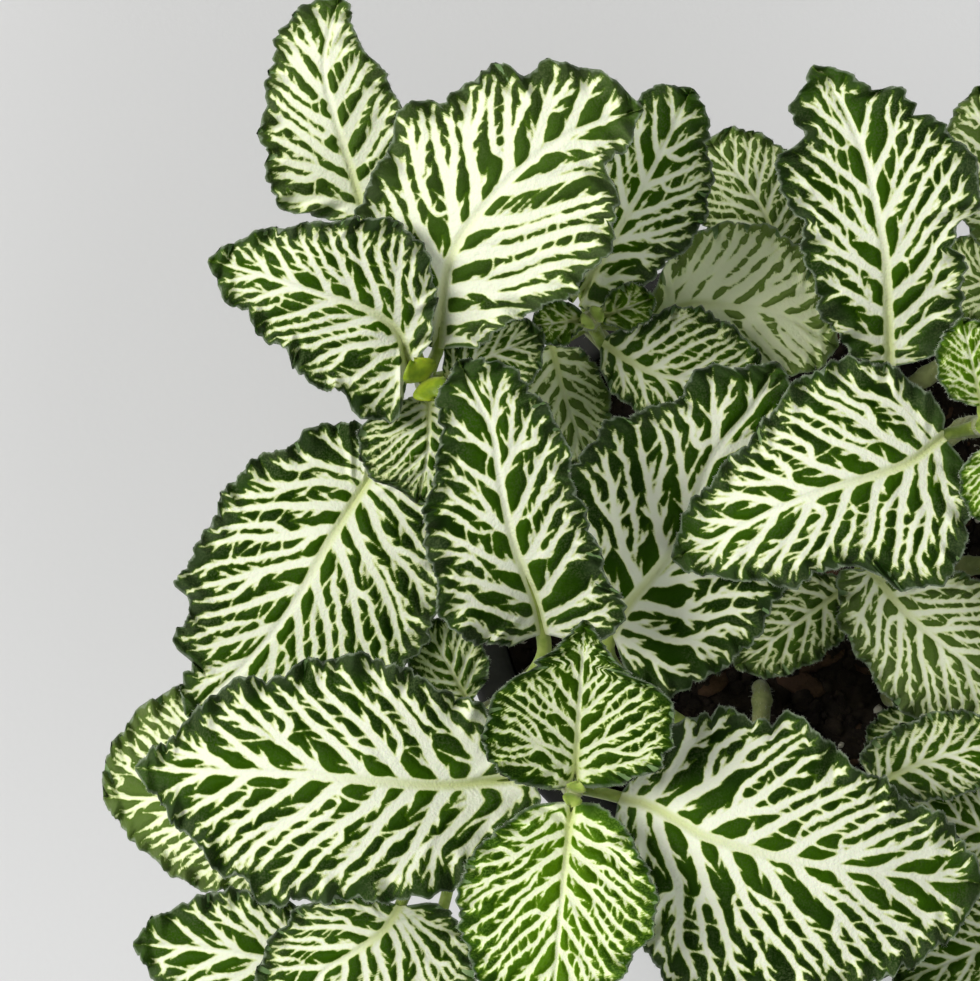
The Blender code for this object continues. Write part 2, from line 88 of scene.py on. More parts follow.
def oval(ub, vb, ut, vt, wl, wr, wide=0.45, n=6):
    """Midrib and margins of a plain leaf from its base, tip and half widths."""
    d = np.array([ut - ub, vt - vb], float)
    left = np.array([d[1], -d[0]]) / np.hypot(*d)
    b = 0.56
    a = b * wide / (1 - wide)
    top = wide**a * (1 - wide) ** b
    s = np.linspace(0, 1, n + 2)[1:-1]
    h = s**a * (1 - s) ** b / top
    at = np.array([ub, vb]) + np.outer(s, d)
    return (
        [(ub, vb), (ut, vt)],
        [tuple(p + left * wl * k) for p, k in zip(at, h)],
        [tuple(p - left * wr * k) for p, k in zip(at, h)],
    )


# leaf: height of base and tip, arch, roll to its left, fold along the midrib,
#       then midrib from base to tip, left margin and right margin in plan units.
# They are listed from the lowest to the highest.
LEAVES = {
    "f3": (108, 101, 2, 0.10, -0.10, *oval(850, 585, 735, 668, 42, 42)),
    "f4": (113, 110, 1, 0.00, -0.10, *oval(938, 716, 866, 755, 32, 32)),
    "d7": (113, 109, 2, 0.00, -0.15,
           [(778, 250), (764, 212), (740, 176), (708, 139)],
           [(749, 251), (706, 230), (690, 190), (692, 154)],
           [(806, 246), (808, 212), (800, 176), (782, 147), (755, 132), (730, 128)]),
    "c5": (118, 107, 4, 0.05, -0.12,
           [(330, 820), (240, 808), (170, 800), (103, 797)],
           [(312, 866), (280, 896), (240, 894), (190, 885), (150, 857), (122, 828)],
           [(345, 760), (300, 715), (240, 688), (178, 688), (134, 716), (105, 762)]),
    "c4": (121, 112, 3, -0.10, -0.10,
           [(395, 985), (300, 965), (210, 950), (133, 944)],
           [(385, 1020), (325, 1045), (255, 1042), (190, 1012), (150, 975)],
           [(385, 935), (340, 915), (289, 903), (226, 890), (195, 900), (161, 912)]),
    "c3": (129, 119, 4, 0.05, -0.12,
           [(400, 906), (382, 932), (349, 956), (317, 980), (275, 1060)],
           [(440, 905), (470, 945), (470, 1005), (430, 1060), (350, 1095)],
           [(350, 890), (300, 908), (268, 945), (252, 995), (250, 1035)]),
    "i1": (129, 123, 3, 0.00, -0.10, *oval(1032, 850, 902, 800, 55, 60)),
    "i2": (131, 126, 3, 0.10, -0.15, *oval(1045, 922, 893, 985, 66, 66)),
    "j2": (119, 114, 2, 0.00, -0.10, *oval(1012, 296, 936, 256, 44, 44)),
    "j1": (127, 122, 4, 0.00, -0.15, *oval(1024, 262, 977, 86, 53, 60, 0.5)),
    "h4": (125, 111, 4, 0.00, -0.12, *oval(764, 1085, 652, 1245, 88, 88)),
    "d6": (122, 121, 5, -0.10, -0.20,
           [(648, 322), (692, 305), (741, 308), (785, 316), (838, 347)],
           [(664, 268), (704, 230), (752, 223), (792, 240), (817, 275), (834, 312)],
           [(680, 352), (730, 372), (790, 376), (822, 366)]),
    "d5": (124, 119, 3, 0.00, -0.20,
           [(552, 346), (566, 400), (592, 468)],
           [(585, 352), (606, 385), (612, 425), (606, 455)],
           [(515, 355), (500, 390), (515, 435), (560, 466)]),
    "f2": (127, 119, 4, 0.10, -0.12,
           [(871, 570), (898, 604), (924, 629), (955, 653), (1018, 700)],
           [(906, 574), (965, 574), (1012, 605), (1030, 655)],
           [(842, 571), (838, 600), (843, 632), (873, 675), (888, 699), (932, 724), (985, 722)]),
    "e2": (125, 124, 3, 0.20, -0.10,
           [(875, 785), (930, 760), (1015, 738)],
           [(862, 752), (895, 728), (940, 712), (985, 715)],
           [(915, 800), (965, 795), (1005, 772)]),
    "c2": (127, 131, 1, 0.00, -0.10, *oval(468, 701, 424, 620, 38, 40)),
    "a5": (130, 131, 5, -0.10, -0.12,
           [(368, 228), (345, 150), (335, 118), (324, 63), (339, -3)],
           [(335, 220), (290, 212), (271, 192), (267, 165), (261, 130), (268, 82), (274, 47), (290, 18), (315, 0)],
           [(398, 207), (409, 160), (403, 110), (390, 84), (378, 64), (360, 43), (352, 30), (352, 10)]),
    "a6": (132, 124, 6, 0.05, -0.12,
           [(372, 474), (330, 540), (290, 610), (240, 670), (186, 716)],
           [(410, 452), (438, 474), (447, 515), (444, 578), (426, 640), (370, 700), (290, 738), (225, 742)],
           [(366, 434), (340, 420), (289, 443), (235, 477), (205, 535), (176, 582), (190, 602), (175, 644), (192, 663), (181, 690)]),
    "d3": (127, 136, 3, 0.22, -0.10,
           [(584, 290), (618, 230), (655, 165), (692, 88)],
           [(560, 262), (556, 205), (585, 150), (625, 108), (660, 86)],
           [(622, 298), (661, 269), (698, 233), (711, 185), (708, 141), (706, 108)]),
    "d4": (128, 130, 3, 0.10, -0.15,
           [(603, 343), (633, 363), (675, 378), (764, 374)],
           [(640, 318), (690, 306), (735, 328), (757, 350)],
           [(606, 382), (640, 414), (690, 428), (735, 412)]),
    "d1": (134, 137, 1, 0.00, 0.10, *oval(577, 320, 532, 326, 24, 24)),
    "d2": (134, 137, 1, 0.00, 0.10, *oval(607, 315, 655, 297, 23, 23)),
    "e1": (136, 141, 5, 0.00, -0.12,
           [(612, 634), (628, 605), (654, 574), (685, 531), (713, 458), (755, 405), (778, 362)],
           [(582, 605), (562, 545), (570, 475), (603, 426), (641, 411), (675, 399), (707, 365), (745, 368)],
           [(630, 676), (660, 692), (688, 690), (707, 678), (745, 650), (778, 600), (805, 540), (812, 470), (802, 405)]),
    "f1": (139, 147, 5, 0.00, 0.10,
           [(890, 366), (888, 303), (886, 261), (879, 218), (863, 151), (835, 90), (812, 66)],
           [(862, 360), (838, 338), (820, 308), (805, 252), (790, 202), (776, 178), (779, 158), (800, 138), (792, 108), (803, 84)],
           [(925, 358), (952, 332), (965, 275), (958, 228), (980, 205), (977, 166), (950, 132), (920, 106), (898, 88), (876, 89), (858, 77), (836, 70)]),
    "i4": (139, 124, 6, 0.05, -0.12, *oval(1086, 914, 1160, 1118, 104, 104)),
    "i3": (140, 131, 5, 0.00, -0.12, *oval(1110, 852, 1297, 822, 100, 104)),
    "h1": (137, 130, 5, 0.00, -0.12, *oval(747, 1058, 566, 1152, 96, 98)),
    "h2": (137, 122, 6, 0.00, -0.12, *oval(800, 1093, 832, 1300, 104, 104)),
    "h3": (137, 129, 5, 0.00, -0.12, *oval(833, 1052, 1012, 1127, 96, 96)),
    "j3": (136, 143, 5, 0.00, -0.10, *oval(1088, 246, 1198, 58, 95, 98)),
    "j4": (134, 134, 5, 0.00, -0.12, *oval(1112, 292, 1312, 262, 98, 98)),
    "k4": (138, 131, 4, 0.00, -0.12, *oval(1138, 596, 1030, 702, 80, 82)),
    "k1": (142, 138, 5, 0.00, -0.12, *oval(1203, 524, 1372, 388, 100, 100)),
    "k2": (142, 130, 6, 0.00, -0.12, *oval(1203, 594, 1388, 700, 104, 104)),
    "k3": (141, 148, 4, 0.00, -0.10, *oval(1142, 524, 1040, 376, 86, 88)),
    "g1": (148, 145, 6, 0.00, -0.14,
           [(944, 436), (913, 460), (882, 473), (829, 489), (776, 510), (724, 536), (672, 559)],
           [(966, 468), (970, 521), (953, 574), (920, 588), (901, 592), (877, 574), (833, 567), (795, 586), (749, 580), (698, 576)],
           [(943, 412), (915, 382), (873, 360), (829, 364), (795, 384), (778, 403), (751, 437), (711, 480), (682, 520)]),
    "a4": (143, 140, 2, 0.00, -0.10, *oval(445, 376, 544, 332, 40, 46)),
    "a3": (145, 141, 3, 0.00, -0.10,
           [(429, 402), (428, 450), (418, 504)],
           [(470, 410), (484, 445), (474, 482), (446, 502)],
           [(388, 406), (362, 425), (359, 452), (372, 479), (395, 488)]),
    "a1": (146, 156, 6, 0.00, -0.05,
           [(438, 348), (450, 260), (490, 200), (560, 140), (643, 108)],
           [(405, 336), (372, 296), (353, 250), (360, 200), (383, 160), (400, 114), (428, 98), (444, 104), (470, 80), (505, 64), (525, 76), (544, 64), (584, 66), (618, 84)],
           [(489, 342), (517, 317), (565, 298), (601, 260), (614, 235), (616, 193), (606, 168), (624, 150)]),
    "a2": (146, 149, 5, -0.10, -0.12,
           [(408, 365), (396, 330), (363, 308), (310, 291), (255, 273), (208, 260)],
           [(397, 416), (377, 421), (357, 414), (342, 393), (310, 384), (294, 366), (286, 350), (265, 341), (248, 316), (225, 298)],
           [(432, 330), (434, 282), (418, 239), (384, 218), (342, 220), (297, 225), (265, 230), (235, 241)]),
    "c1": (148, 163, 5, 0.00, -0.12,
           [(543, 634), (536, 603), (525, 574), (515, 548), (506, 510), (498, 468), (492, 430), (458, 360)],
           [(500, 646), (447, 628), (433, 574), (424, 523), (430, 490), (440, 447), (438, 400)],
           [(590, 642), (628, 616), (609, 580), (595, 540), (576, 489), (563, 433), (540, 399), (500, 362)]),
    "b3": (148, 145, 7, 0.00, -0.12,
           [(497, 781), (430, 785), (300, 775), (200, 771), (135, 768)],
           [(510, 806), (502, 834), (483, 860), (458, 882), (425, 898), (390, 901), (325, 901), (262, 901), (244, 880), (220, 872), (198, 848), (178, 827), (152, 793)],
           [(488, 738), (465, 699), (425, 682), (396, 665), (372, 656), (340, 657), (305, 662), (275, 675), (232, 682), (205, 700), (190, 720), (160, 745)]),
    "b4": (149, 145, 7, 0.00, -0.12,
           [(620, 798), (650, 806), (682, 823), (713, 839), (797, 861), (903, 875), (985, 884)],
           [(652, 752), (672, 730), (700, 713), (725, 710), (765, 719), (797, 716), (826, 738), (850, 764), (880, 776), (905, 798), (930, 811), (952, 824), (970, 852)],
           [(614, 838), (625, 880), (645, 922), (655, 958), (674, 986), (725, 1000), (785, 1000), (845, 990), (900, 974), (945, 942), (973, 910)]),
    "b1": (154, 165, 2, 0.00, 0.10,
           [(575, 774), (585, 620)],
           [(530, 783), (496, 773), (484, 746), (487, 718), (507, 686), (530, 665), (556, 648), (572, 630)],
           [(622, 781), (661, 767), (673, 744), (668, 706), (652, 685), (624, 668), (606, 647), (595, 629)]),
    "b2": (154, 160, 4, 0.00, 0.05,
           [(571, 812), (562, 900), (552, 1012)],
           [(601, 813), (618, 823), (638, 847), (653, 888), (647, 928), (630, 960), (612, 988), (585, 1010)],
           [(541, 812), (516, 817), (496, 831), (474, 849), (460, 885), (460, 930), (471, 964), (494, 1000), (527, 1014)]),
    "g2": (152, 160, 1, 0.00, 0.10, *oval(982, 405, 962, 318, 36, 44)),
    "g3": (152, 158, 1, 0.00, 0.10, *oval(991, 446, 1002, 530, 36, 36)),
}

ROWS = np.array([0.0, 0.12, 0.28, 0.46, 0.64, 0.82, 1.0])
ACROSS = np.array([-1.0, -0.5, 0.0, 0.5, 1.0])


def curve(points, s):
    """Points of a smooth curve through the given ones, at fractions s of its length."""
    p = np.array(points, float)
    if len(p) == 2:
        return p[0] + np.outer(s, p[1] - p[0])
    e = np.vstack([2 * p[0] - p[1], p, 2 * p[-1] - p[-2]])
    w = np.linspace(0, 1, 17)[:-1, None]
    out = []
    for i in range(1, len(e) - 2):
        a, b, c, d = e[i - 1], e[i], e[i + 1], e[i + 2]
        out.append(b + 0.5 * w * (c - a + w * (2 * a - 5 * b + 4 * c - d + w * (3 * (b - c) + d - a))))
    out = np.vstack(out + [p[-1:]])
    run = np.concatenate([[0], np.cumsum(np.hypot(*np.diff(out, axis=0).T))])
    at = np.asarray(s) * run[-1]
    return np.stack([np.interp(at, run, out[:, k]) for k in (0, 1)], 1)


def blade_plan(leaf, s):
    """Midrib, left margin and right margin at fractions s, in plan units."""
    zb, zt, arch, roll, fold, mid, left, right = leaf
    m = curve(mid, s)
    to_left, to_right = np.subtract(left[0], mid[0]), np.subtract(right[0], mid[0])
    across = to_left / np.hypot(*to_left) - to_right / np.hypot(*to_right)
    across /= np.hypot(*across)
    ahead = np.array([-across[1], across[0]])
    last = np.subtract(mid[-1], mid[-2]) / np.hypot(*np.subtract(mid[-1], mid[-2]))
    out = [m]
    for side, pts in ((1, left), (-1, right)):
        to = np.subtract(pts[0], mid[0])
        back = max(0.0, -np.dot(to, ahead) / np.dot(to, side * across)) * 1.2
        a = mid[0] + (side * across - min(back, 0.8) * ahead) * PETIOLE_W / 2 * PLAN
        b = mid[-1] + side * np.array([last[1], -last[0]]) * 0.35 * PLAN
        out.append(curve([tuple(a), *pts, tuple(b)], s))
    return out


def blade_grid(leaf, rows=ROWS, across=ACROSS):
    """(rows, across, 3) points of a blade, right edge first, before it settles on others."""
    zb, zt, arch, roll, fold = leaf[:5]
    m, l, r = blade_plan(leaf, rows)
    z = zb + (zt - zb) * rows + arch * 4 * rows * (1 - rows)
    out = np.zeros((len(rows), len(across), 3))
    for i in range(len(rows)):
        for j, a in enumerate(across):
            p = m[i] + abs(a) * ((l if a > 0 else r)[i] - m[i])
            y = np.hypot(*(p - m[i])) / PLAN
            out[i, j] = plan(p[0], p[1], z[i] + roll * y * np.sign(a) + fold * y)
    return out


def straight(key):
    """Length of a stem's upright end, which carries its leaves."""
    return min(30.0, 0.5 * (STEMS[key][0][2] - SOIL_Z))


def stem_path(key, n=6):
    """Middle line of a stem, from inside the soil's well up to its tip."""
    (u, v, z), (rx, ry) = STEMS[key]
    top = plan(u, v, z)
    foot = np.array([rx, ry, SOIL_Z + GAP])
    upright = straight(key)
    shoot = np.array([top[0], top[1], z - upright])
    rise = shoot[2] - foot[2]
    c1 = foot + [0, 0, 0.5 * rise]
    c2 = shoot - [0, 0, 0.3 * rise] - 0.25 * (shoot - foot) * [1, 1, 0]
    w = np.linspace(0, 1, n)[:, None]
    path = (1 - w) ** 3 * foot + 3 * (1 - w) ** 2 * w * c1 + 3 * (1 - w) * w**2 * c2 + w**3 * shoot
    return np.vstack([path, shoot + [0, 0, 0.55 * upright], top])


def petiole_rows(key, grid, n=1):
    """Rows of the leaf stalk, from beside the stem to the blade's first row."""
    (u, v, z), _ = STEMS[key[0]]
    base = grid[0].mean(0)
    axis = grid[2].mean(0) - grid[0].mean(0)
    centre = plan(u, v, z)
    go = base[:2] - centre[:2]
    gap = np.hypot(*go)
    drop = min(7.0, 0.3 + 0.7 * max(gap - STEM_R, 0.0))
    zn = min(max(base[2] - drop, z - straight(key[0]) + 2.0), z - 1.5)
    go = go / gap
    flat = axis[:2] / np.hypot(*axis[:2])
    start = np.array([*(centre[:2] + go * (STEM_R + 0.45)), zn])
    mid = (start + base) / 2 - [0, 0, 0.5]
    if gap >= 7:
        bent = np.array([*(base[:2] - flat * min(0.3 * gap, 7.0)), base[2] - 3.0])
        if np.dot(bent[:2] - centre[:2], go) >= 0.35 * gap:
            mid = bent
    n += int(gap >= 3.2) + int(gap >= 7) + int(gap >= 14) + int(gap >= 24)
    rows = []
    for w in np.linspace(0, 1, n + 1)[:-1]:
        p = (1 - w) ** 2 * start + 2 * (1 - w) * w * mid + w * w * base
        t = 2 * (1 - w) * (mid - start) + 2 * w * (base - mid)
        t = t[:2] / (np.hypot(*t[:2]) + 1e-9)
        left = np.array([t[1], -t[0], 0.0])
        rows.append([p - left * a * PETIOLE_W / 2 for a in ACROSS])
    return np.array(rows)


def raster(tri):
    """Cells that a triangle covers in plan, and its height in each."""
    lo = np.floor((tri[:, :2].min(0) + HALF) / CELL).astype(int)
    hi = np.ceil((tri[:, :2].max(0) + HALF) / CELL).astype(int)
    ii, jj = np.mgrid[lo[0] : hi[0] + 1, lo[1] : hi[1] + 1]
    x, y = ii * CELL - HALF, jj * CELL - HALF
    (x0, y0, z0), (x1, y1, z1), (x2, y2, z2) = tri
    det = (y1 - y2) * (x0 - x2) + (x2 - x1) * (y0 - y2)
    if abs(det) < 1e-9:
        return None
    a = ((y1 - y2) * (x - x2) + (x2 - x1) * (y - y2)) / det
    b = ((y2 - y0) * (x - x2) + (x0 - x2) * (y - y2)) / det
    c = 1 - a - b
    grow = 0.35 / max(abs(det) ** 0.5, 0.5)
    inside = (a > -grow) & (b > -grow) & (c > -grow)
    if not inside.any():
        return None
    return ii[inside], jj[inside], (a * z0 + b * z1 + c * z2)[inside]


def triangles(nr, na):
    out = []
    for i in range(nr - 1):
        for j in range(na - 1):
            p, q = i * na + j, i * na + j + 1
            r, s = (i + 1) * na + j, (i + 1) * na + j + 1
            out += [(p, q, s), (p, s, r)]
    return out


def settle():
    """Every leaf's grid of points, stalk rows first, each clear above those under it."""
    size = int(2 * HALF / CELL) + 2
    low = -1e3
    stems = {}
    for key in STEMS:
        sheet = np.full((size, size), low)
        path = stem_path(key)
        for p, q in zip(path[:-1], path[1:]):
            for w in np.linspace(0, 1, 40):
                c = p + (q - p) * w
                r = STEM_R + 0.5
                n = int(r / CELL) + 1
                ci, cj = int(round((c[0] + HALF) / CELL)), int(round((c[1] + HALF) / CELL))
                for i in range(ci - n, ci + n + 1):
                    for j in range(cj - n, cj + n + 1):
                        if (i * CELL - HALF - c[0]) ** 2 + (j * CELL - HALF - c[1]) ** 2 <= r * r:
                            sheet[i, j] = max(sheet[i, j], c[2] + 0.8)
        stems[key] = sheet
    leaves = np.full((size, size), low)
    done, lifts = {}, {}
    for key, leaf in LEAVES.items():
        blade = blade_grid(leaf)
        grid = np.concatenate([petiole_rows(key, blade), blade])
        nr, na = grid.shape[:2]
        npet = nr - len(ROWS)
        thick = np.where(np.arange(nr) <= npet, PETIOLE_T, BLADE_T)[:, None].repeat(na, 1).reshape(-1)
        under = leaves.copy()
        for other, sheet in stems.items():
            if other != key[0]:
                under = np.maximum(under, sheet)
        tris = triangles(nr, na)
        flat = grid.reshape(-1, 3)
        lift = np.zeros(len(flat))
        for _ in range(40):
            need = np.zeros(len(flat))
            now = flat.copy()
            now[:, 2] += lift - thick
            for t in tris:
                got = raster(now[list(t)])
                if got is None:
                    continue
                short = (under[got[0], got[1]] + CLEAR - got[2]).max()
                if short > 0:
                    for k in t:
                        need[k] = max(need[k], short)
            if need.max() < 0.02:
                break
            lift += need
            g = lift.reshape(nr, na)
            pad = np.pad(g, 1, mode="edge")
            mean = (pad[:-2, 1:-1] + pad[2:, 1:-1] + pad[1:-1, :-2] + pad[1:-1, 2:]) / 4
            lift = np.maximum(g, 0.92 * mean).reshape(-1)
        flat[:, 2] += lift
        lifts[key] = lift.max()
        grid = flat.reshape(nr, na, 3)
        for t in tris:
            got = raster(flat[list(t)])
            if got is not None:
                np.maximum.at(leaves, (got[0], got[1]), got[2])
        done[key] = (grid, npet, thick.reshape(nr, na))
    return done, lifts


# ---- small tools ----
def smooth(x, lo=0.0, hi=1.0):
    t = np.clip((x - lo) / (hi - lo), 0, 1)
    return t * t * (3 - 2 * t)


def spaced(p, step):
    """Points a step apart along a plan line."""
    run = np.concatenate([[0], np.cumsum(np.hypot(*np.diff(p, axis=0).T))])
    at = np.linspace(0, run[-1], max(2, int(round(run[-1] / step)) + 1))
    return np.stack([np.interp(at, run, p[:, k]) for k in (0, 1)], 1)


def nearest(p, q, chunk=4000):
    """Distance from each p to the nearest q, and which."""
    d = np.empty(len(p))
    j = np.empty(len(p), int)
    qq = (q * q).sum(1)
    for c in range(0, len(p), chunk):
        s = p[c:c + chunk]
        m = (s * s).sum(1)[:, None] + qq[None] - 2 * s @ q.T
        j[c:c + chunk] = m.argmin(1)
        d[c:c + chunk] = np.sqrt(np.maximum(m[np.arange(len(s)), j[c:c + chunk]], 0))
    return d, j


def hermite(x, xs, ys):
    """Smooth values between rows of ys (first axis) given at xs."""
    xs = np.asarray(xs, float)
    ys = np.asarray(ys, float)
    slope = np.zeros_like(ys)
    step = np.diff(ys, axis=0) / np.diff(xs).reshape(-1, *[1] * (ys.ndim - 1))
    slope[1:-1] = 0.5 * (step[1:] + step[:-1])
    slope[0], slope[-1] = step[0], step[-1]
    i = np.clip(np.searchsorted(xs, x) - 1, 0, len(xs) - 2)
    h = (xs[i + 1] - xs[i])
    t = (x - xs[i]) / h
    shape = (-1, *[1] * (ys.ndim - 1))
    t, h = t.reshape(shape), h.reshape(shape)
    return ((2 * t**3 - 3 * t**2 + 1) * ys[i] + (t**3 - 2 * t**2 + t) * h * slope[i]
            + (-2 * t**3 + 3 * t**2) * ys[i + 1] + (t**3 - t**2) * h * slope[i + 1])


def space_curve(points, n):
    """n points evenly along a smooth space curve through the given ones."""
    p = np.array(points, float)
    e = np.vstack([2 * p[0] - p[1], p, 2 * p[-1] - p[-2]])
    w = np.linspace(0, 1, 13)[:-1, None]
    out = []
    for i in range(1, len(e) - 2):
        a, b, c, d = e[i - 1], e[i], e[i + 1], e[i + 2]
        out.append(b + 0.5 * w * (c - a + w * (2 * a - 5 * b + 4 * c - d + w * (3 * (b - c) + d - a))))
    out = np.vstack(out + [p[-1:]])
    run = np.concatenate([[0], np.cumsum(np.sqrt((np.diff(out, axis=0) ** 2).sum(1)))])
    at = np.linspace(0, run[-1], n)
    return np.stack([np.interp(at, run, out[:, k]) for k in range(3)], 1)


class Builder:
    """Gathers points (in millimetres), faces and point values into one mesh."""

    def __init__(self, *names):
        self.names = names
        self.points, self.values = [], {n: [] for n in names}
        self.loops, self.sizes, self.mats, self.uvs = [], [], [], []
        self.count = 0

    def add(self, points, faces, mat=0, uv=None, **values):
        """faces: an (n, k) array, or a list of tuples."""
        points = np.asarray(points, float).reshape(-1, 3)
        base = self.count
        self.points.append(points)
        self.count += len(points)
        for n in self.names:
            v = values.get(n, 0.0)
            self.values[n].append(np.broadcast_to(np.asarray(v, float), (len(points),)).copy())
        if isinstance(faces, np.ndarray):
            self.loops.append((faces + base).reshape(-1))
            self.sizes.append(np.full(len(faces), faces.shape[1]))
            nf = len(faces)
        else:
            self.loops.append(np.array([k + base for f in faces for k in f], int))
            self.sizes.append(np.array([len(f) for f in faces], int))
            nf = len(faces)
        self.mats.append(np.full(nf, mat))
        if uv is None:
            uv = np.zeros((len(points), 2))
        self.uvs.append(np.asarray(uv, float))
        return base

    def finish(self, name, materials, smooth_faces=True, uv=False):
        mesh = bpy.data.meshes.new(name)
        pts = np.vstack(self.points) * MM
        loops = np.concatenate(self.loops).astype(np.int32)
        sizes = np.concatenate(self.sizes).astype(np.int32)
        starts = np.concatenate([[0], np.cumsum(sizes)[:-1]]).astype(np.int32)
        mesh.vertices.add(len(pts))
        mesh.vertices.foreach_set("co", pts.astype(np.float32).ravel())
        mesh.loops.add(len(loops))
        mesh.loops.foreach_set("vertex_index", loops)
        mesh.polygons.add(len(sizes))
        mesh.polygons.foreach_set("loop_start", starts)
        mesh.polygons.foreach_set("loop_total", sizes)
        mesh.polygons.foreach_set("material_index", np.concatenate(self.mats).astype(np.int32))
        mesh.update(calc_edges=True)
        mesh.validate()
        if smooth_faces:
            mesh.shade_smooth()
        for n in self.names:
            a = mesh.attributes.new(n, "FLOAT", "POINT")
            a.data.foreach_set("value", np.concatenate(self.values[n]).astype(np.float32))
        if uv:
            layer = mesh.uv_layers.new(name="OFBake")
            u = np.vstack(self.uvs)[loops]
            layer.data.foreach_set("uv", u.astype(np.float32).ravel())
        for m in materials:
            mesh.materials.append(m)
        obj = bpy.data.objects.new(name, mesh)
        bpy.context.collection.objects.link(obj)
        return obj


def grid_faces(nr, nc, wrap=False, flip=False):
    i = np.arange(nr - 1)[:, None]
    j = np.arange(nc if wrap else nc - 1)[None]
    k = (j + 1) % nc
    a, b, c, d = i * nc + j, i * nc + k, (i + 1) * nc + k, (i + 1) * nc + j
    f = np.stack(np.broadcast_arrays(a, b, c, d), -1).reshape(-1, 4)
    return f[:, ::-1].copy() if flip else f


def tube(path, radius, sides=10, squash=1.0, up=(0, 0, 1)):
    """Rings about a path, without ends: points and faces turned outward."""
    path = np.asarray(path, float)
    radius = np.broadcast_to(np.asarray(radius, float), (len(path),))
    t = np.gradient(path, axis=0)
    t /= np.sqrt((t**2).sum(1))[:, None] + 1e-12
    a = np.zeros_like(t)
    seed = np.array(up, float)
    if abs(t[0] @ seed) > 0.9:
        seed = np.array([0.0, 1.0, 0.0])
    v = np.cross(t[0], seed)
    v /= np.linalg.norm(v)
    for i in range(len(t)):
        v = v - (v @ t[i]) * t[i]
        v /= np.linalg.norm(v)
        a[i] = v
    b = np.cross(t, a)
    w = np.arange(sides) * 2 * math.pi / sides
    pts = (path[:, None] + radius[:, None, None]
           * (np.cos(w)[None, :, None] * a[:, None] + squash * np.sin(w)[None, :, None] * b[:, None]))
    return pts.reshape(-1, 3), grid_faces(len(path), sides, wrap=True)


def closed_tube(path, radius, sides=10, **more):
    """A tube with a point at each end."""
    pts, faces = tube(path, radius, sides, **more)
    n = len(path)
    path = np.asarray(path, float)
    pts = np.vstack([pts, path[0], path[-1]])
    k = np.arange(sides)
    j = (k + 1) % sides
    first = [tuple(x) for x in np.stack([np.full(sides, n * sides), j, k], 1)]
    last = [tuple(x) for x in np.stack([np.full(sides, n * sides + 1), (n - 1) * sides + k, (n - 1) * sides + j], 1)]
    return pts, [tuple(f) for f in faces] + first + last


# ---- materials, all from nodes ----
class Nodes:
    """A short hand for node trees."""

    def __init__(self, name):
        self.mat = bpy.data.materials.new(name)
        self.mat.use_nodes = True
        self.tree = self.mat.node_tree
        self.shader = self.tree.nodes["Principled BSDF"]
        self.coord = None

    def put(self, socket, value):
        if hasattr(value, "is_linked") or hasattr(value, "links"):
            self.tree.links.new(value, socket)
        elif isinstance(value, (tuple, list)):
            v = tuple(value)
            socket.default_value = (*v, 1.0) if len(v) == 3 and len(socket.default_value) == 4 else v
        else:
            socket.default_value = value

    def at(self):
        if self.coord is None:
            self.coord = self.tree.nodes.new("ShaderNodeTexCoord").outputs["Object"]
        return self.coord

    def value(self, name):
        n = self.tree.nodes.new("ShaderNodeAttribute")
        n.attribute_name = name
        return n.outputs["Fac"]

    def noise(self, scale, detail=3.0, rough=0.55, distort=0.0, coord=None):
        n = self.tree.nodes.new("ShaderNodeTexNoise")
        n.inputs["Scale"].default_value = scale
        n.inputs["Detail"].default_value = detail
        n.inputs["Roughness"].default_value = rough
        n.inputs["Distortion"].default_value = distort
        self.put(n.inputs["Vector"], coord if coord is not None else self.at())
        return n.outputs["Fac"]

    def cells(self, scale, feature="F1", out="Distance", rand=1.0):
        n = self.tree.nodes.new("ShaderNodeTexVoronoi")
        n.feature = feature
        n.inputs["Scale"].default_value = scale
        n.inputs["Randomness"].default_value = rand
        self.put(n.inputs["Vector"], self.at())
        return n.outputs[out]

    def math(self, op, a, b=0.0, c=None, clamp=False):
        n = self.tree.nodes.new("ShaderNodeMath")
        n.operation = op
        n.use_clamp = clamp
        self.put(n.inputs[0], a)
        self.put(n.inputs[1], b)
        if c is not None:
            self.put(n.inputs[2], c)
        return n.outputs[0]

    def ramp(self, x, lo, hi, a=0.0, b=1.0, kind="SMOOTHSTEP"):
        n = self.tree.nodes.new("ShaderNodeMapRange")
        n.interpolation_type = kind
        self.put(n.inputs["Value"], x)
        for k, v in (("From Min", lo), ("From Max", hi), ("To Min", a), ("To Max", b)):
            n.inputs[k].default_value = v
        return n.outputs["Result"]

    def mix(self, f, a, b, blend="MIX"):
        n = self.tree.nodes.new("ShaderNodeMix")
        n.data_type = "RGBA"
        n.blend_type = blend
        self.put(n.inputs["Factor"], f)
        self.put(n.inputs[6], a)
        self.put(n.inputs[7], b)
        return n.outputs[2]

    def bump(self, height, distance, strength=1.0, normal=None):
        n = self.tree.nodes.new("ShaderNodeBump")
        n.inputs["Strength"].default_value = strength
        n.inputs["Distance"].default_value = distance
        self.put(n.inputs["Height"], height)
        if normal is not None:
            self.put(n.inputs["Normal"], normal)
        return n.outputs["Normal"]

    def set(self, **values):
        for k, v in values.items():
            self.put(self.shader.inputs[k.replace("_", " ")], v)
        return self.mat


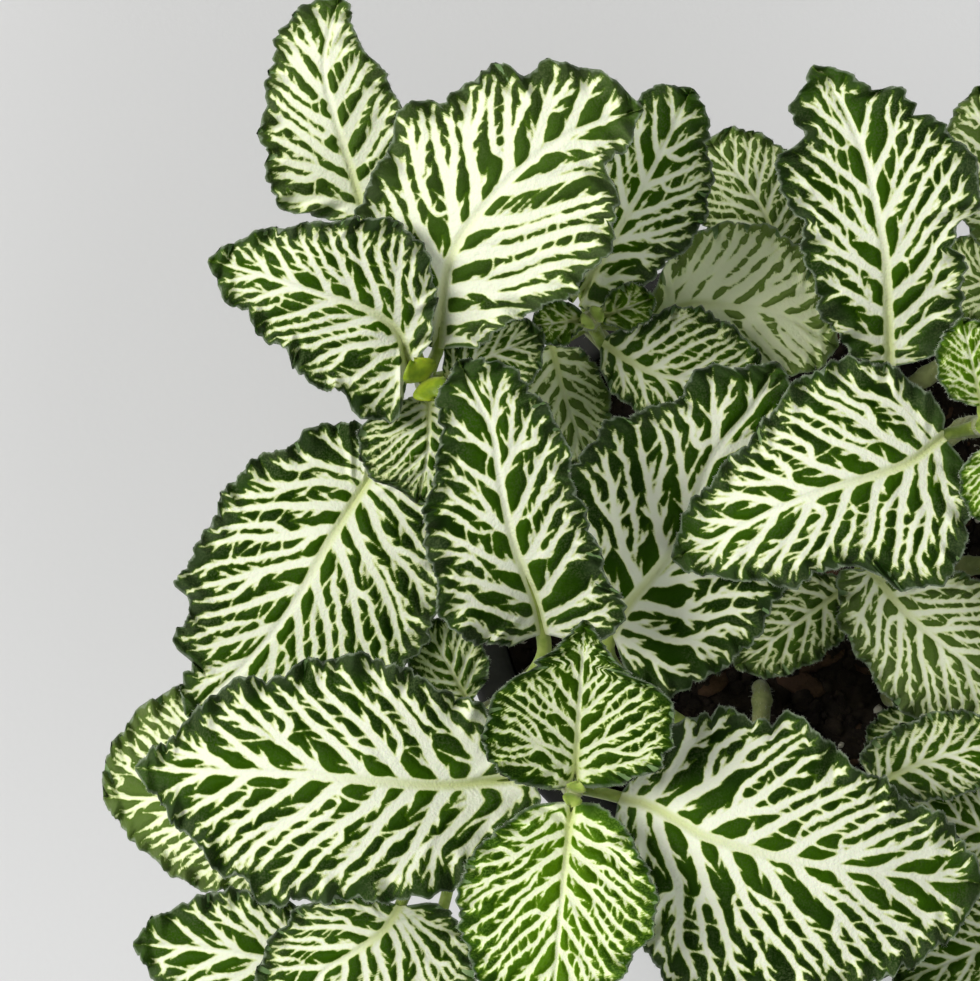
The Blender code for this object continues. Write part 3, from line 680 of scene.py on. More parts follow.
def leaf_material(name, young=False):
    """vein: how far inside a vein, in plan units; rim: how far from the margin; mid: from the midrib;
    run: 0 at the blade's base, 1 at its tip; tone: brightness of this leaf, partly painted light and shade; haze: how
    pale its green is, partly painted light, and below 0 a painted shade that darkens the green."""
    n = Nodes(name)
    vein, rim, mid, run, tone = (n.value(k) for k in ("vein", "rim", "mid", "run", "tone"))
    fine = n.noise(2600, 2.0, 0.6)
    rough = n.noise(900, 3.0, 0.6)
    sparkle_noise = n.noise(3300, 1.0, 0.5)
    patch = n.noise(210, 2.0, 0.5)
    broad = n.noise(95, 3.0, 0.5)
    jag = n.math("MULTIPLY_ADD", n.math("SUBTRACT", fine, 0.5), 0.9, vein)
    jag = n.math("MULTIPLY_ADD", n.math("SUBTRACT", rough, 0.5), 1.1, jag)
    white = n.ramp(jag, -0.50, 0.45)
    glow = n.ramp(jag, -1.9, -0.3)
    deep, mid_g = ((0.010, 0.037, 0.0003), (0.026, 0.078, 0.0008)) if young else ((0.0056, 0.0195, 0.0001), (0.0135, 0.042, 0.0005))
    fresh = (0.088, 0.205, 0.0010) if young else (0.038, 0.105, 0.0008)
    grey = (0.035, 0.085, 0.010) if young else (0.048, 0.070, 0.031)
    green = n.mix(n.ramp(broad, 0.35, 0.68), deep, mid_g)
    # the blade is fresher near the midrib; the grey near the margin is a painted sheen of its hairs
    green = n.mix(n.math("MULTIPLY", n.ramp(mid, 60, 4), 0.62), green, fresh)
    rim_sheen = n.math("MULTIPLY", n.ramp(rim, 30, 2), n.ramp(n.noise(150, 3.0, 0.6), 0.34, 0.66, 0.20, 1.0))
    green = n.mix(n.math("MULTIPLY", rim_sheen, 0.70), green, grey)
    # painted highlights: pale specks where the cells would catch light, more of them near the margin
    sparkle = n.math("MULTIPLY", n.ramp(sparkle_noise, 0.38, 0.68), n.ramp(patch, 0.32, 0.60))
    green = n.mix(n.math("MULTIPLY", sparkle, n.ramp(rim, 70, 4, 0.24, 0.75)), green, (0.064, 0.092, 0.032) if not young else (0.10, 0.19, 0.02))
    # haze above 0 pales the green: partly the leaf's own colour, partly painted light where light falls on the leaf
    green = n.mix(n.math("MULTIPLY", n.value("haze"), n.ramp(broad, 0.25, 0.7, 0.6, 1.0)), green, (0.26, 0.35, 0.09))
    green = n.mix(n.math("MULTIPLY", glow, 0.40), green, (0.085, 0.175, 0.003) if not young else (0.12, 0.25, 0.003))
    # haze below 0 darkens the green: painted shade
    green = n.mix(n.ramp(n.value("haze"), 0.0, -1.0, kind="LINEAR"), green, (0.0060, 0.024, 0.0003))
    vein_in = n.ramp(jag, -0.1, 1.0 if young else 1.6)
    thin_c, full_c = ((0.50, 0.64, 0.15), (0.80, 0.85, 0.58)) if young else ((0.62, 0.69, 0.29), (0.825, 0.858, 0.675))
    pale = n.mix(vein_in, thin_c, full_c)
    pale = n.mix(n.math("MULTIPLY", n.ramp(rough, 0.45, 0.75), 0.14), pale, (0.64, 0.70, 0.50))
    # haze also pales the veins: partly their own colour, partly painted light
    pale = n.mix(n.math("MULTIPLY", n.value("haze"), 0.75), pale, (0.84, 0.90, 0.50))
    core = n.math("MULTIPLY", n.ramp(mid, 8.5, 1.0), n.ramp(run, 0.62, 0.02))
    pale = n.mix(n.math("MULTIPLY", core, 0.72), pale, (0.50, 0.58, 0.14))
    colour = n.mix(white, green, pale)
    # a thin hoary line along the margin
    edge = n.math("MULTIPLY", n.ramp(rim, 3.0, 0.3), n.ramp(rough, 0.25, 0.6, 0.35, 1.0))
    colour = n.mix(n.math("MULTIPLY", edge, 0.72), colour, (0.24, 0.29, 0.20))
    # tone scales the leaf's brightness: partly its own tone, partly painted light and shade
    dark = n.tree.nodes.new("ShaderNodeHueSaturation")
    n.put(dark.inputs["Value"], tone)
    n.put(dark.inputs["Color"], colour)
    height = n.math("MULTIPLY_ADD", fine, 0.55, n.math("MULTIPLY", rough, 0.8))
    bump = n.bump(height, 0.00024, 0.85)
    return n.set(Base_Color=dark.outputs["Color"], Roughness=n.ramp(rough, 0.3, 0.7, 0.44, 0.62, "LINEAR"), Normal=bump,
                 Specular_IOR_Level=0.03, Subsurface_Weight=0.08,
                 Subsurface_Radius=(0.5, 1.0, 0.25), Subsurface_Scale=0.0009)


def under_material():
    """The paler underside, its veins standing out only a little."""
    n = Nodes("leaf_under")
    vein, mid, tone = n.value("vein"), n.value("mid"), n.value("tone")
    fine, broad = n.noise(2200, 2.0), n.noise(120, 3.0)
    green = n.mix(n.ramp(broad, 0.35, 0.7), (0.105, 0.185, 0.060), (0.165, 0.260, 0.090))
    colour = n.mix(n.math("MULTIPLY", n.ramp(vein, -1.2, 1.2), 0.62), green, (0.42, 0.52, 0.26))
    colour = n.mix(n.math("MULTIPLY", n.ramp(mid, 11, 3), 0.5), colour, (0.40, 0.48, 0.18))
    return n.set(Base_Color=colour, Roughness=n.ramp(fine, 0.3, 0.7, 0.5, 0.68, "LINEAR"), Sheen_Weight=0.12,
                 Normal=n.bump(n.math("ADD", fine, n.math("MULTIPLY", n.ramp(vein, -2, 2), 1.2)), 0.0002, 0.7),
                 Specular_IOR_Level=0.3, Subsurface_Weight=0.1, Subsurface_Radius=(0.5, 1.0, 0.25), Subsurface_Scale=0.0009)


def stalk_material(name, deep=False, bright=False):
    n = Nodes(name)
    fine, streak, broad = n.noise(1700, 2.0), n.noise(420, 3.0, 0.6, 0.4), n.noise(110, 2.0)
    a, b = ((0.20, 0.24, 0.075), (0.33, 0.36, 0.14)) if deep else ((0.20, 0.29, 0.030), (0.36, 0.45, 0.085))
    if bright:
        a, b = (0.15, 0.23, 0.004), (0.30, 0.40, 0.008)
    colour = n.mix(n.ramp(streak, 0.3, 0.7), a, b)
    spots = (0.30, 0.22, 0.12) if deep else (0.22, 0.30, 0.010) if bright else (0.40, 0.50, 0.15)
    colour = n.mix(n.math("MULTIPLY", n.ramp(broad, 0.5, 0.75), 0.35), colour, spots)
    return n.set(Base_Color=colour, Roughness=n.ramp(fine, 0.3, 0.7, 0.42, 0.6, "LINEAR"),
                 Normal=n.bump(fine, 0.0001, 0.6), Sheen_Weight=0.15, Specular_IOR_Level=0.35,
                 Subsurface_Weight=0.18, Subsurface_Radius=(0.5, 1.0, 0.3), Subsurface_Scale=0.0012)


def hair_material():
    n = Nodes("hair")
    f = n.noise(900, 2.0)
    return n.set(Base_Color=n.mix(f, (0.50, 0.56, 0.42), (0.70, 0.74, 0.62)), Roughness=0.6, Sheen_Weight=0.2)


def clay_material():
    """Dark unglazed stoneware: mottled, matt, paler where it is rubbed and with fine pits."""
    n = Nodes("dark_stoneware")
    broad, mid_, fine = n.noise(38, 5.0, 0.6, 0.6), n.noise(210, 4.0, 0.6), n.noise(1500, 3.0, 0.6)
    pits = n.ramp(n.cells(520), 0.0, 0.16)
    sep = n.tree.nodes.new("ShaderNodeSeparateXYZ")
    n.put(sep.inputs[0], n.at())
    z = sep.outputs["Z"]
    colour = n.mix(n.ramp(broad, 0.34, 0.66), (0.016, 0.016, 0.017), (0.028, 0.027, 0.027))
    colour = n.mix(n.math("MULTIPLY", n.ramp(mid_, 0.45, 0.72), 0.45), colour, (0.042, 0.040, 0.038))
    # dust lies near the foot and under the rim
    bloom = n.math("MAXIMUM", n.ramp(z, 0.030, 0.004), n.math("MULTIPLY", n.ramp(z, 0.066, 0.082), 0.7))
    bloom = n.math("MULTIPLY", bloom, n.ramp(n.noise(70, 6.0, 0.7, 1.0), 0.42, 0.66))
    colour = n.mix(n.math("MULTIPLY", bloom, 0.35), colour, (0.080, 0.076, 0.071))
    colour = n.mix(n.math("MULTIPLY", n.ramp(fine, 0.6, 0.85), 0.40), colour, (0.060, 0.056, 0.052))
    colour = n.mix(n.ramp(pits, 0.0, 1.0, 0.45, 0.0, "LINEAR"), colour, (0.012, 0.012, 0.013))
    height = n.math("ADD", n.math("MULTIPLY", fine, 0.35), n.math("ADD", n.math("MULTIPLY", pits, 0.5), n.math("MULTIPLY", mid_, 0.7)))
    return n.set(Base_Color=colour, Roughness=n.ramp(mid_, 0.3, 0.7, 0.62, 0.80, "LINEAR"), Normal=n.bump(height, 0.00035, 0.7),
                 Specular_IOR_Level=0.35)


def soil_material(name, a, b, c):
    n = Nodes(name)
    fine, mid_ = n.noise(1100, 4.0, 0.65), n.noise(240, 4.0, 0.6)
    colour = n.mix(n.ramp(mid_, 0.36, 0.66), a, b)
    colour = n.mix(n.math("MULTIPLY", n.ramp(fine, 0.58, 0.80), 0.5), colour, c)
    return n.set(Base_Color=colour, Roughness=n.ramp(fine, 0.3, 0.7, 0.8, 0.97, "LINEAR"), Specular_IOR_Level=0.2,
                 Normal=n.bump(n.math("ADD", fine, mid_), 0.0005, 0.9))


def floor_material():
    n = Nodes("pale_paper")
    fine = n.noise(900, 3.0)
    broad = n.noise(3.0, 2.0)
    colour = n.mix(n.ramp(broad, 0.3, 0.7), (0.688, 0.688, 0.690), (0.714, 0.714, 0.716))
    colour = n.mix(n.math("MULTIPLY", fine, 0.05), colour, (0.60, 0.60, 0.61))
    return n.set(Base_Color=colour, Roughness=0.9, Specular_IOR_Level=0.1, Normal=n.bump(fine, 0.0001, 0.3))


# ---- veins ----
class Blade:
    """A blade's plan: midrib and margins by s, read anywhere between."""

    def __init__(self, leaf, n=241):
        self.m, self.l, self.r = blade_plan(leaf, np.linspace(0, 1, n))
        self.n = n
        self.outline = np.vstack([spaced(self.l, 1.6), spaced(self.r[::-1], 1.6)])

    def at(self, curve, s):
        x = np.clip(s, 0, 1) * (self.n - 1)
        i = np.minimum(x.astype(int), self.n - 2)
        f = (x - i)[..., None]
        return curve[i] * (1 - f) + curve[i + 1] * f

    def point(self, s, a):
        """a is 0 on the midrib and 1 on a margin; its sign is the side."""
        m = self.at(self.m, s)
        e = np.where((a >= 0)[..., None], self.at(self.l, s), self.at(self.r, s))
        return m + np.abs(a)[..., None] * (e - m)

    def rim(self, p):
        """How far points lie from the margin."""
        return nearest(p, self.outline)[0]

    def inside(self, p):
        """Which points lie within the margin."""
        e = self.outline[::3]
        f = np.roll(e, -1, axis=0)
        x, y = p[:, 0][:, None], p[:, 1][:, None]
        up = (e[None, :, 1] > y) != (f[None, :, 1] > y)
        cut = e[None, :, 0] + (y - e[None, :, 1]) / (f[:, 1] - e[:, 1] + 1e-12)[None] * (f[:, 0] - e[:, 0])[None]
        return (up & (x < cut)).sum(1) % 2 == 1


class Rays:
    """The ways that veins take on one side of the midrib. q is where a ray starts along the midrib, below 0 at
    its foot; r is how far out it is. The rays spread, so they never meet."""

    def __init__(self, blade, side, angles, back):
        self.q = np.linspace(-0.30, 0.965, 254)
        on = np.clip(self.q, 0, 1)
        self.o = blade.at(blade.m, on)
        t = blade.at(blade.m, np.minimum(on + 0.22, 1)) - blade.at(blade.m, np.maximum(on - 0.22, 0))
        t = t / np.hypot(*t.T)[:, None]
        far = blade.m[-1] - blade.m[0]
        t = t + 0.7 * far / np.hypot(*far)
        self.t = t / np.hypot(*t.T)[:, None]
        mid = np.array([0.5])
        out = (blade.at(blade.l if side > 0 else blade.r, mid) - blade.at(blade.m, mid))[0]
        tm = self.t[len(self.q) // 2]
        turn = 1 if tm[0] * out[1] - tm[1] * out[0] > 0 else -1
        # how far this side's lobe reaches back behind the foot
        edge = blade.l if side > 0 else blade.r
        lobe = max(0.0, float((-(edge - blade.m[0]) @ self.t[0]).max()))
        deg = np.interp(self.q, [-0.30, 0.0, 0.10, 0.30, 0.60, 0.97], (100 + (back - 100) * min(1.0, lobe / 30), *angles))
        a = np.radians(deg) * turn
        c, s = np.cos(a), np.sin(a)
        self.d = np.stack([self.t[:, 0] * c - self.t[:, 1] * s, self.t[:, 0] * s + self.t[:, 1] * c], 1)
        # forward bows, but backward into the lobes at the foot
        self.bow = np.interp(self.q, [-0.30, 0.0, 0.15], [-0.0052 * min(1.0, lobe / 42), 0.0, 0.0008])
        # how far each runs before it leaves the blade
        r = np.arange(5.0, 330, 4.0)
        sub = slice(0, None, 3)
        k = len(self.q[sub])
        q2 = np.repeat(self.q[sub], len(r))
        inn = blade.inside(self.point(q2, np.tile(r, k))).reshape(k, len(r))
        start = inn[:, 0] | inn[:, 1] | inn[:, 2]
        inn[:, 0], inn[:, 1] = True, inn[:, 1] | inn[:, 2]
        reach = np.where(inn.all(1), r[-1], r[np.argmin(inn, 1)]) - 4.0
        self.reach = np.interp(self.q, self.q[sub], np.where(start, reach, 0.0))
        part = np.interp(self.q, [-0.30, 0.0, 0.16], [0.66, 0.55, 0.30])
        along = np.gradient(self.point(self.q, 6 + part * self.reach), axis=0)
        self.wide = np.abs(along[:, 0] * self.d[:, 1] - along[:, 1] * self.d[:, 0]) * (self.reach > 12)

    def pick(self, table, q):
        return np.stack([np.interp(q, self.q, table[:, 0]), np.interp(q, self.q, table[:, 1])], -1)

    def point(self, q, r):
        r = np.asarray(r, float)
        bow = np.interp(q, self.q, self.bow) * r * r / (1 + 0.004 * r)
        return self.pick(self.o, q) + r[..., None] * self.pick(self.d, q) + bow[..., None] * self.pick(self.t, q)


def pattern(blade, S, A, rng, space=31.0, unit=1.0, white=1.0, split=22.5, angles=(84, 61, 46, 37, 27), back=136.0, band=4.4,
            mid_w=5.8, sec_w=5.7, net_w=3.3, cross=1.0, spurs=1.0, kappa=0.98):
    """Vein depth at the points (S, A) of a blade's fan, in plan units: positive inside a vein.
    Side veins leave the midrib along rays; the lanes between them fork into streaks as they widen."""
    shape = S.shape
    S, A = S.ravel(), A.ravel()
    XY = blade.point(S, A)
    rim = blade.rim(XY)
    rim[np.abs(A) > 0.9999] = 0
    midline = spaced(blade.m, 1.5)
    length = np.hypot(*np.diff(blade.m, axis=0).T).sum()
    u = unit
    split, band, mid_w, sec_w, net_w = split * u, band * u, mid_w * u, sec_w * u * white, net_w * u * white
    kap = kappa / u
    dmid, jm = nearest(XY, midline)
    smid = jm / (len(midline) - 1)
    mid_half = mid_w * (0.34 + 0.66 * (1 - smid) ** 0.9) * (0.75 + 0.25 * white) * smooth(0.965 - smid, 0, 0.07)
    total = np.exp(kap * np.clip(mid_half - dmid, -30, 4.0))
    heavy = mid_half - dmid
    # the points, by square boxes, so that each vein meets only those about it
    size = 24.0
    low = XY.min(0) - 1
    cx, cy = ((XY - low) // size).astype(int).T
    nx, ny = cx.max() + 1, cy.max() + 1
    order = np.argsort(cx * ny + cy, kind="stable")
    starts = np.searchsorted((cx * ny + cy)[order], np.arange(nx * ny + 1))

    laid = []

    def stroke(p, half, kind):
        """Adds a vein: its points, half widths and how heavy it is."""
        laid.append(np.column_stack([p, half]))
        for c in range(0, len(p), 14):
            pc, hc = p[c:c + 15], half[c:c + 15]
            x0, y0 = np.maximum(((pc.min(0) - 9 - low) // size).astype(int), 0)
            x1, y1 = ((pc.max(0) + 9 - low) // size).astype(int)
            ids = [order[starts[x * ny + y0]:starts[x * ny + min(y1, ny - 1) + 1]] for x in range(x0, min(x1, nx - 1) + 1) if y1 >= y0]
            ids = np.concatenate(ids) if ids else np.zeros(0, int)
            if not len(ids):
                continue
            q = XY[ids]
            m = (q * q).sum(1)[:, None] + (pc * pc).sum(1)[None] - 2 * q @ pc.T
            v = (hc[None] - np.sqrt(np.maximum(m, 0))).max(1)
            ids, v = ids[v > -9], v[v > -9]
            part = np.exp(kap * np.minimum(v, 3.5)) / (1.0 if len(p) <= 15 else 1.25)
            total[ids] += part
            if kind == 1:
                heavy[ids] = np.maximum(heavy[ids], v)

    def turned(t, a):
        c, s = math.cos(a), math.sin(a)
        return np.array([t[0] * c - t[1] * s, t[0] * s + t[1] * c])

    def dress(own, every, long_at):
        """Branches along a vein, forward on alternate sides, each bent the vein's way and ending in a point."""
        p, half = own[:, :2], own[:, 2]
        if spurs <= 0 or len(p) < 8:
            return
        t = np.gradient(p, axis=0)
        t /= np.hypot(*t.T)[:, None] + 1e-9
        step = 1.2 * u
        around = np.vstack([v for v in laid if v is not own])
        around = around[((around[:, :2] - p.mean(0)) ** 2).sum(1) < (0.6 * len(p) * step + 40 * u) ** 2]
        i = int(rng.uniform(4, 9))
        sd = rng.choice([-1, 1])
        while i < len(p) - 3:
            left = (len(p) - i) * step
            if left < 14 * u and rng.uniform() < 0.5:
                i += 3
                continue
            big = rng.uniform() < 0.74
            long_ = (rng.uniform(*long_at) if big else rng.uniform(7, 11)) * u + half[i] * 0.9
            long_ = min(long_, max(11 * u, 0.8 * left))
            n = max(4, int(long_ / (1.1 * u)))
            a0, a1 = math.radians(rng.uniform(36, 52)), math.radians(rng.uniform(10, 26))
            q = np.zeros((n, 2))
            q[0] = p[i]
            for m in range(1, n):
                j = min(len(t) - 1, i + m)
                q[m] = q[m - 1] + turned(t[j], sd * (a0 + (a1 - a0) * m / n)) * long_ / n
            # it ends short of the next vein
            if len(around):
                m0 = max(2, int((half[i] + 3 * u) / long_ * n))
                gap = (np.sqrt(((q[m0:, None] - around[None, :, :2]) ** 2).sum(2)) - around[None, :, 2]).min(1) if m0 < n else np.zeros(0)
                close = np.where(gap < 3.3 * u)[0]
                if len(close):
                    n = m0 + int(close[0])
                    if n * long_ / len(q) < half[i] + 6 * u:
                        i += int(rng.uniform(0.35, 0.7) * every * u / step)
                        sd = -sd
                        continue
                    q = q[:n]
            f = np.linspace(0, 1, n)
            w0 = (2.0 if big else 1.4) * u * min(1.0, 0.5 + half[i] / (5 * u))
            stroke(q, w0 * (1 - f**1.35) + 0.15 * u, 2)
            if big and n > 13 and rng.uniform() < 0.7:
                # a small fork near its end
                m = int(n * rng.uniform(0.35, 0.6))
                tt = turned((q[m] - q[m - 1]) / (np.hypot(*(q[m] - q[m - 1])) + 1e-9), -sd * math.radians(rng.uniform(28, 45)))
                g = np.linspace(0, 1, 7)
                stroke(q[m] + g[:, None] * rng.uniform(5, 9) * u * tt[None], 1.5 * u * (1 - g**1.4) + 0.2 * u, 2)
            i += int(rng.uniform(0.6, 1.4) * every * u / step)
            sd = -sd if rng.uniform() < 0.8 else sd

    def stopped(p, lowest):
        """p up to where it nears the margin."""
        dr = blade.rim(p)
        met = False
        for i in range(4, len(p)):
            met = met or dr[i] > lowest
            if dr[i] < lowest and dr[i] <= dr[i - 1] and (met or i > 0.4 * len(p)):
                return i
        return len(p)

    bare = []
    for side in (1, -1):
        rays = Rays(blade, side, angles, back)
        run_w = np.concatenate([[0], np.cumsum(0.5 * (rays.wide[1:] + rays.wide[:-1]))])
        first = rng.uniform(0.16, 0.34) * space * u
        at = [first]
        while at[-1] < run_w[-1] - 0.3 * space * u:
            q_ = np.interp(at[-1], run_w, rays.q)
            at.append(at[-1] + space * u * rng.uniform(0.85, 1.15) * np.interp(q_, [-0.05, 0.12, 0.5, 0.6], [0.66, 1.0, 1.0, 0.88]))
        at = at[:-1]
        mains = np.interp(at, run_w + 1e-6 * np.arange(len(run_w)), rays.q)
        n = 110
        rg = np.linspace(0, 1, n)

        def wobble(r, w):
            zig = np.arcsin(np.sin(r / (5.2 * u) + w[5])) + 0.7 * np.arcsin(np.sin(r / (8.3 * u) + w[3]))
            return (w[0] * np.sin(r / (15 * u) + w[3]) + w[1] * np.sin(r / (27 * u) + w[4]) + (0.15 + 0.14 * abs(w[2])) * zig * u / length) * smooth(r, 0, 16 * u)

        waves = [np.concatenate([rng.uniform(-1, 1, 3) * np.array([2.7 * u / length, 3.8 * u / length, 1.0]), rng.uniform(0, 6, 3)]) for _ in mains]
        drawn = np.zeros(len(mains))
        for k, q0 in enumerate(mains):
            far = np.interp(q0, rays.q, rays.reach)
            if far < 9 * u:
                continue
            r = np.arange(0, far + 3, 1.2 * u)
            p = rays.point(q0 + wobble(r, waves[k]), r)
            p = p[:stopped(p, band * rng.uniform(0.6, 1.1))]
            if len(p) < 5:
                continue
            f = np.linspace(0, 1, len(p))
            tip = np.clip((len(p) - 1 - np.arange(len(p))) * 1.2 * u / (24 * u), 0, 1)
            half = sec_w * (1 - 0.56 * f) * np.interp(q0, [-0.2, 0.0, 0.12, 1.0], [0.62, 0.78, 1.0, 0.70]) * (0.06 + 0.94 * tip**0.75)
            half = half * min(1, 0.45 + len(p) * 1.2 / 110)
            stroke(p, half, 1)
            bare.append((laid[-1], 12.5, (16, 36)))
            drawn[k] = len(p) * 1.2 * u
        # lanes between side veins, and the two outer ones
        edges = [(-0.30, None)] + [(q0, w) for q0, w in zip(mains, waves)] + [(0.965, None)]
        for k in range(len(edges) - 1):
            (qa, wa), (qb, wb) = edges[k], edges[k + 1]
            if k == 0 and qb <= -0.29:
                continue
            qm = 0.5 * (qa + qb)
            far = max(np.interp(qm, rays.q, rays.reach), np.interp(qa, rays.q, rays.reach), np.interp(qb, rays.q, rays.reach))
            if far < 10 * u:
                continue
            rr = rg * (far + 4)

            def place(i0, tt):
                r = rr[i0:]
                q = qa + tt * (qb - qa)
                w = (1 - tt) * (wobble(r, wa) if wa is not None else 0) + tt * (wobble(r, wb) if wb is not None else 0)
                return rays.point(q + w, r), r < np.interp(q, rays.q, rays.reach) + 2

            mid0, _ = place(0, np.full(n, 0.5))
            fl = np.gradient(mid0, axis=0)
            fl /= np.hypot(*fl.T)[:, None] + 1e-9
            across = rays.point(np.full(n, qb), rr) - rays.point(np.full(n, qa), rr)
            wide = np.abs(across[:, 0] * fl[:, 1] - across[:, 1] * fl[:, 0])
            run = rr
            ends = [dict(t=0.0, i=0, par=None, drawn=drawn[k - 1] if k else 0.0),
                    dict(t=1.0, i=0, par=None, drawn=drawn[k] if k < len(mains) else 0.0)]

            def track(b, i0=0):
                if b["par"] is None:
                    return np.full(n - i0, b["t"])
                pt = track(b["par"], i0)
                lin = np.clip((run[i0:] - run[b["i"]]) / b["reach"], 0, 1)
                g = 0.45 * smooth(lin) + 0.55 * np.sin(lin * math.pi / 2)
                return pt + (b["t"] - pt) * g

            rows = [[ends[0], ends[1], split * rng.uniform(0.92, 1.12), 0]]
            made = []
            for i in range(3, n - 4):
                fresh = []
                for row in rows:
                    b0, b1, limit, since = row
                    w = (b1["t"] - b0["t"]) * wide[i]
                    wait = 9 if since == 0 else 17
                    limit = limit * (1 + 0.30 * (1 - smooth(run[i], 22 * u, 75 * u)))
                    if w > limit and run[i] - run[since] > wait * u:
                        if k == 0 and b0["par"] is None:
                            low_par = False
                        elif k == len(edges) - 2 and b1["par"] is None:
                            low_par = True
                        else:
                            low_par = rng.uniform() < 0.52
                        t_new = 0.5 * (b0["t"] + b1["t"]) + rng.uniform(-0.07, 0.07) * (b1["t"] - b0["t"])
                        nb = dict(t=t_new, i=i, par=b0 if low_par else b1, reach=rng.uniform(0.9, 1.3) * w, drawn=0.0)
                        made.append(nb)
                        fresh.append([b0, nb, split * rng.uniform(0.88, 1.14), i])
                        fresh.append([nb, b1, split * rng.uniform(0.88, 1.14), i])
                    else:
                        fresh.append(row)
                rows = fresh
            ordered = sorted(ends + made, key=lambda b: b["t"])
            for b in made:
                tt = track(b, b["i"])
                p, good = place(b["i"], tt)
                if not good[:2].all() or b["par"]["drawn"] < run[b["i"]]:
                    continue
                p = p[:len(good) if good.all() else int(np.argmin(good))]
                if len(p) < 4:
                    continue
                jit = np.cumsum(rng.normal(0, 0.36, len(p))) * u
                jit -= np.linspace(jit[0], jit[-1], len(p))
                t_ = np.gradient(p, axis=0)
                t_ /= np.hypot(*t_.T)[:, None] + 1e-9
                p = spaced(p + np.stack([t_[:, 1], -t_[:, 0]], 1) * jit[:, None], 1.2 * u)
                keep = stopped(p, band * rng.uniform(0.55, 1.7))
                # it ends early where its row has narrowed
                others = np.array([(c["t"], c["i"]) for c in ordered if c is not b])
                i_ = np.arange(b["i"], n)
                gap = np.where(others[:, 1][None] <= i_[:, None], np.abs(others[:, 0] - b["t"])[None], 9.0).min(1) * wide[b["i"]:]
                narrow = np.where((gap < 0.34 * split) & (run[b["i"]:] - run[b["i"]] > 1.3 * b["reach"]))[0]
                if len(narrow):
                    keep = min(keep, int((run[b["i"] + narrow[0]] - run[b["i"]]) / (1.2 * u)))
                p = p[:keep]
                if len(p) < 7:
                    continue
                f = np.linspace(0, 1, len(p))
                tip = np.clip((len(p) - 1 - np.arange(len(p))) * 1.2 / 22.0, 0, 1)
                grown = min(1.0, 0.60 + len(p) * 1.2 / 120)
                half = net_w * grown * (1.08 - 0.40 * f) * (0.05 + 0.95 * tip**0.8) * rng.uniform(0.85, 1.15)
                if b["i"] < 0.32 * n and rng.uniform() < 0.55:
                    # near the midrib many start as thin lines
                    away = np.arange(len(p)) * 1.2 * u
                    half = half * (0.34 + 0.66 * smooth(away, 14 * u, 44 * u))
                stroke(p, half, 2)
                bare.append((laid[-1], 12.5, (13, 28)))
                b["drawn"] = run[b["i"]] + len(p) * 1.2 * u
            # thin lines across the rows close the cells near the midrib
            for b0, b1 in zip(ordered[:-1], ordered[1:]):
                if (k == 0 and b0["t"] == 0.0) or (k == len(edges) - 2 and b1["t"] == 1.0):
                    continue
                at_ = run[max(b0["i"], b1["i"])] + rng.uniform(13, 22) * u
                while at_ < run[-1]:
                    j = int(np.searchsorted(run, at_))
                    if j >= n - 1:
                        break
                    t0, t1 = track(b0, j)[0], track(b1, j)[0]
                    tilt = rng.uniform(-0.9, 0.9)
                    j2 = int(np.clip(j + tilt * (t1 - t0) * wide[j] / (run[1] + 1e-9) * 0.5, 1, n - 1))
                    e0 = place(j, np.full(n - j, t0))[0][0]
                    e1 = place(j2, np.full(n - j2, track(b1, j2)[0]))[0][0]
                    c = 0.5 * (e0 + e1)
                    far_in = float(blade.rim(c[None])[0]) if blade.inside(c[None])[0] else 0.0
                    if far_in > rng.uniform(26, 60) * u and rng.uniform() < cross:
                        L = math.hypot(*(e1 - e0))
                        m_ = max(3, int(L / (1.1 * u)))
                        f = np.linspace(0, 1, m_)
                        bow = rng.uniform(-0.14, 0.14) * L
                        q = e0 + f[:, None] * (e1 - e0) + (np.sin(f * math.pi) * bow)[:, None] * fl[j][None]
                        stroke(q, rng.uniform(0.9, 2.3) * u * (1 - 0.40 * np.sin(f * math.pi)), 3)
                    at_ += rng.uniform(14, 29) * u
    for own, every, long_at in bare:
        dress(own, every, long_at)
    vein = np.minimum(np.log(total) / kap, 6.0)
    return (vein.reshape(shape), rim.reshape(shape), heavy.reshape(shape), dmid.reshape(shape), smid.reshape(shape),
            XY.reshape(*shape, 2))


# ---- blades ----
# How each leaf differs: brightness, share of white, paleness of its green. These are partly each leaf's own colour and
# partly painted light and shade: d6 is painted brighter, whiter and paler for the light on it, and f1, f3, d1 and d2
# are painted darker for the shade they lie in. Others take (1, 1, 0).
LOOK = {
    "a5": (1.06, 1.42, 0.10), "a1": (1.08, 1.24, 0.08), "a2": (0.95, 1.0, 0.0), "f1": (1.00, 0.92, -0.05), "c1": (0.96, 0.83, -0.10), "e1": (0.97, 0.79, -0.22), "d6": (1.10, 1.80, 0.70),
    "d5": (1.05, 1.15, 0.45), "c5": (1.05, 0.95, 0.30), "f2": (0.98, 1.0, 0.25), "a4": (0.9, 0.95, 0.0), "i1": (0.9, 0.9, 0.0),
    "i2": (0.9, 0.9, 0.0), "f3": (0.9, 0.9, 0.1), "j1": (1.05, 1.05, 0.35), "j2": (1.05, 1.05, 0.35), "d7": (0.95, 1.0, 0.25),
    "b1": (0.93, 0.92, -0.55), "b2": (1.08, 1.0, 0.0), "d1": (0.62, 0.80, 0.0), "d2": (0.62, 0.80, 0.0),
}
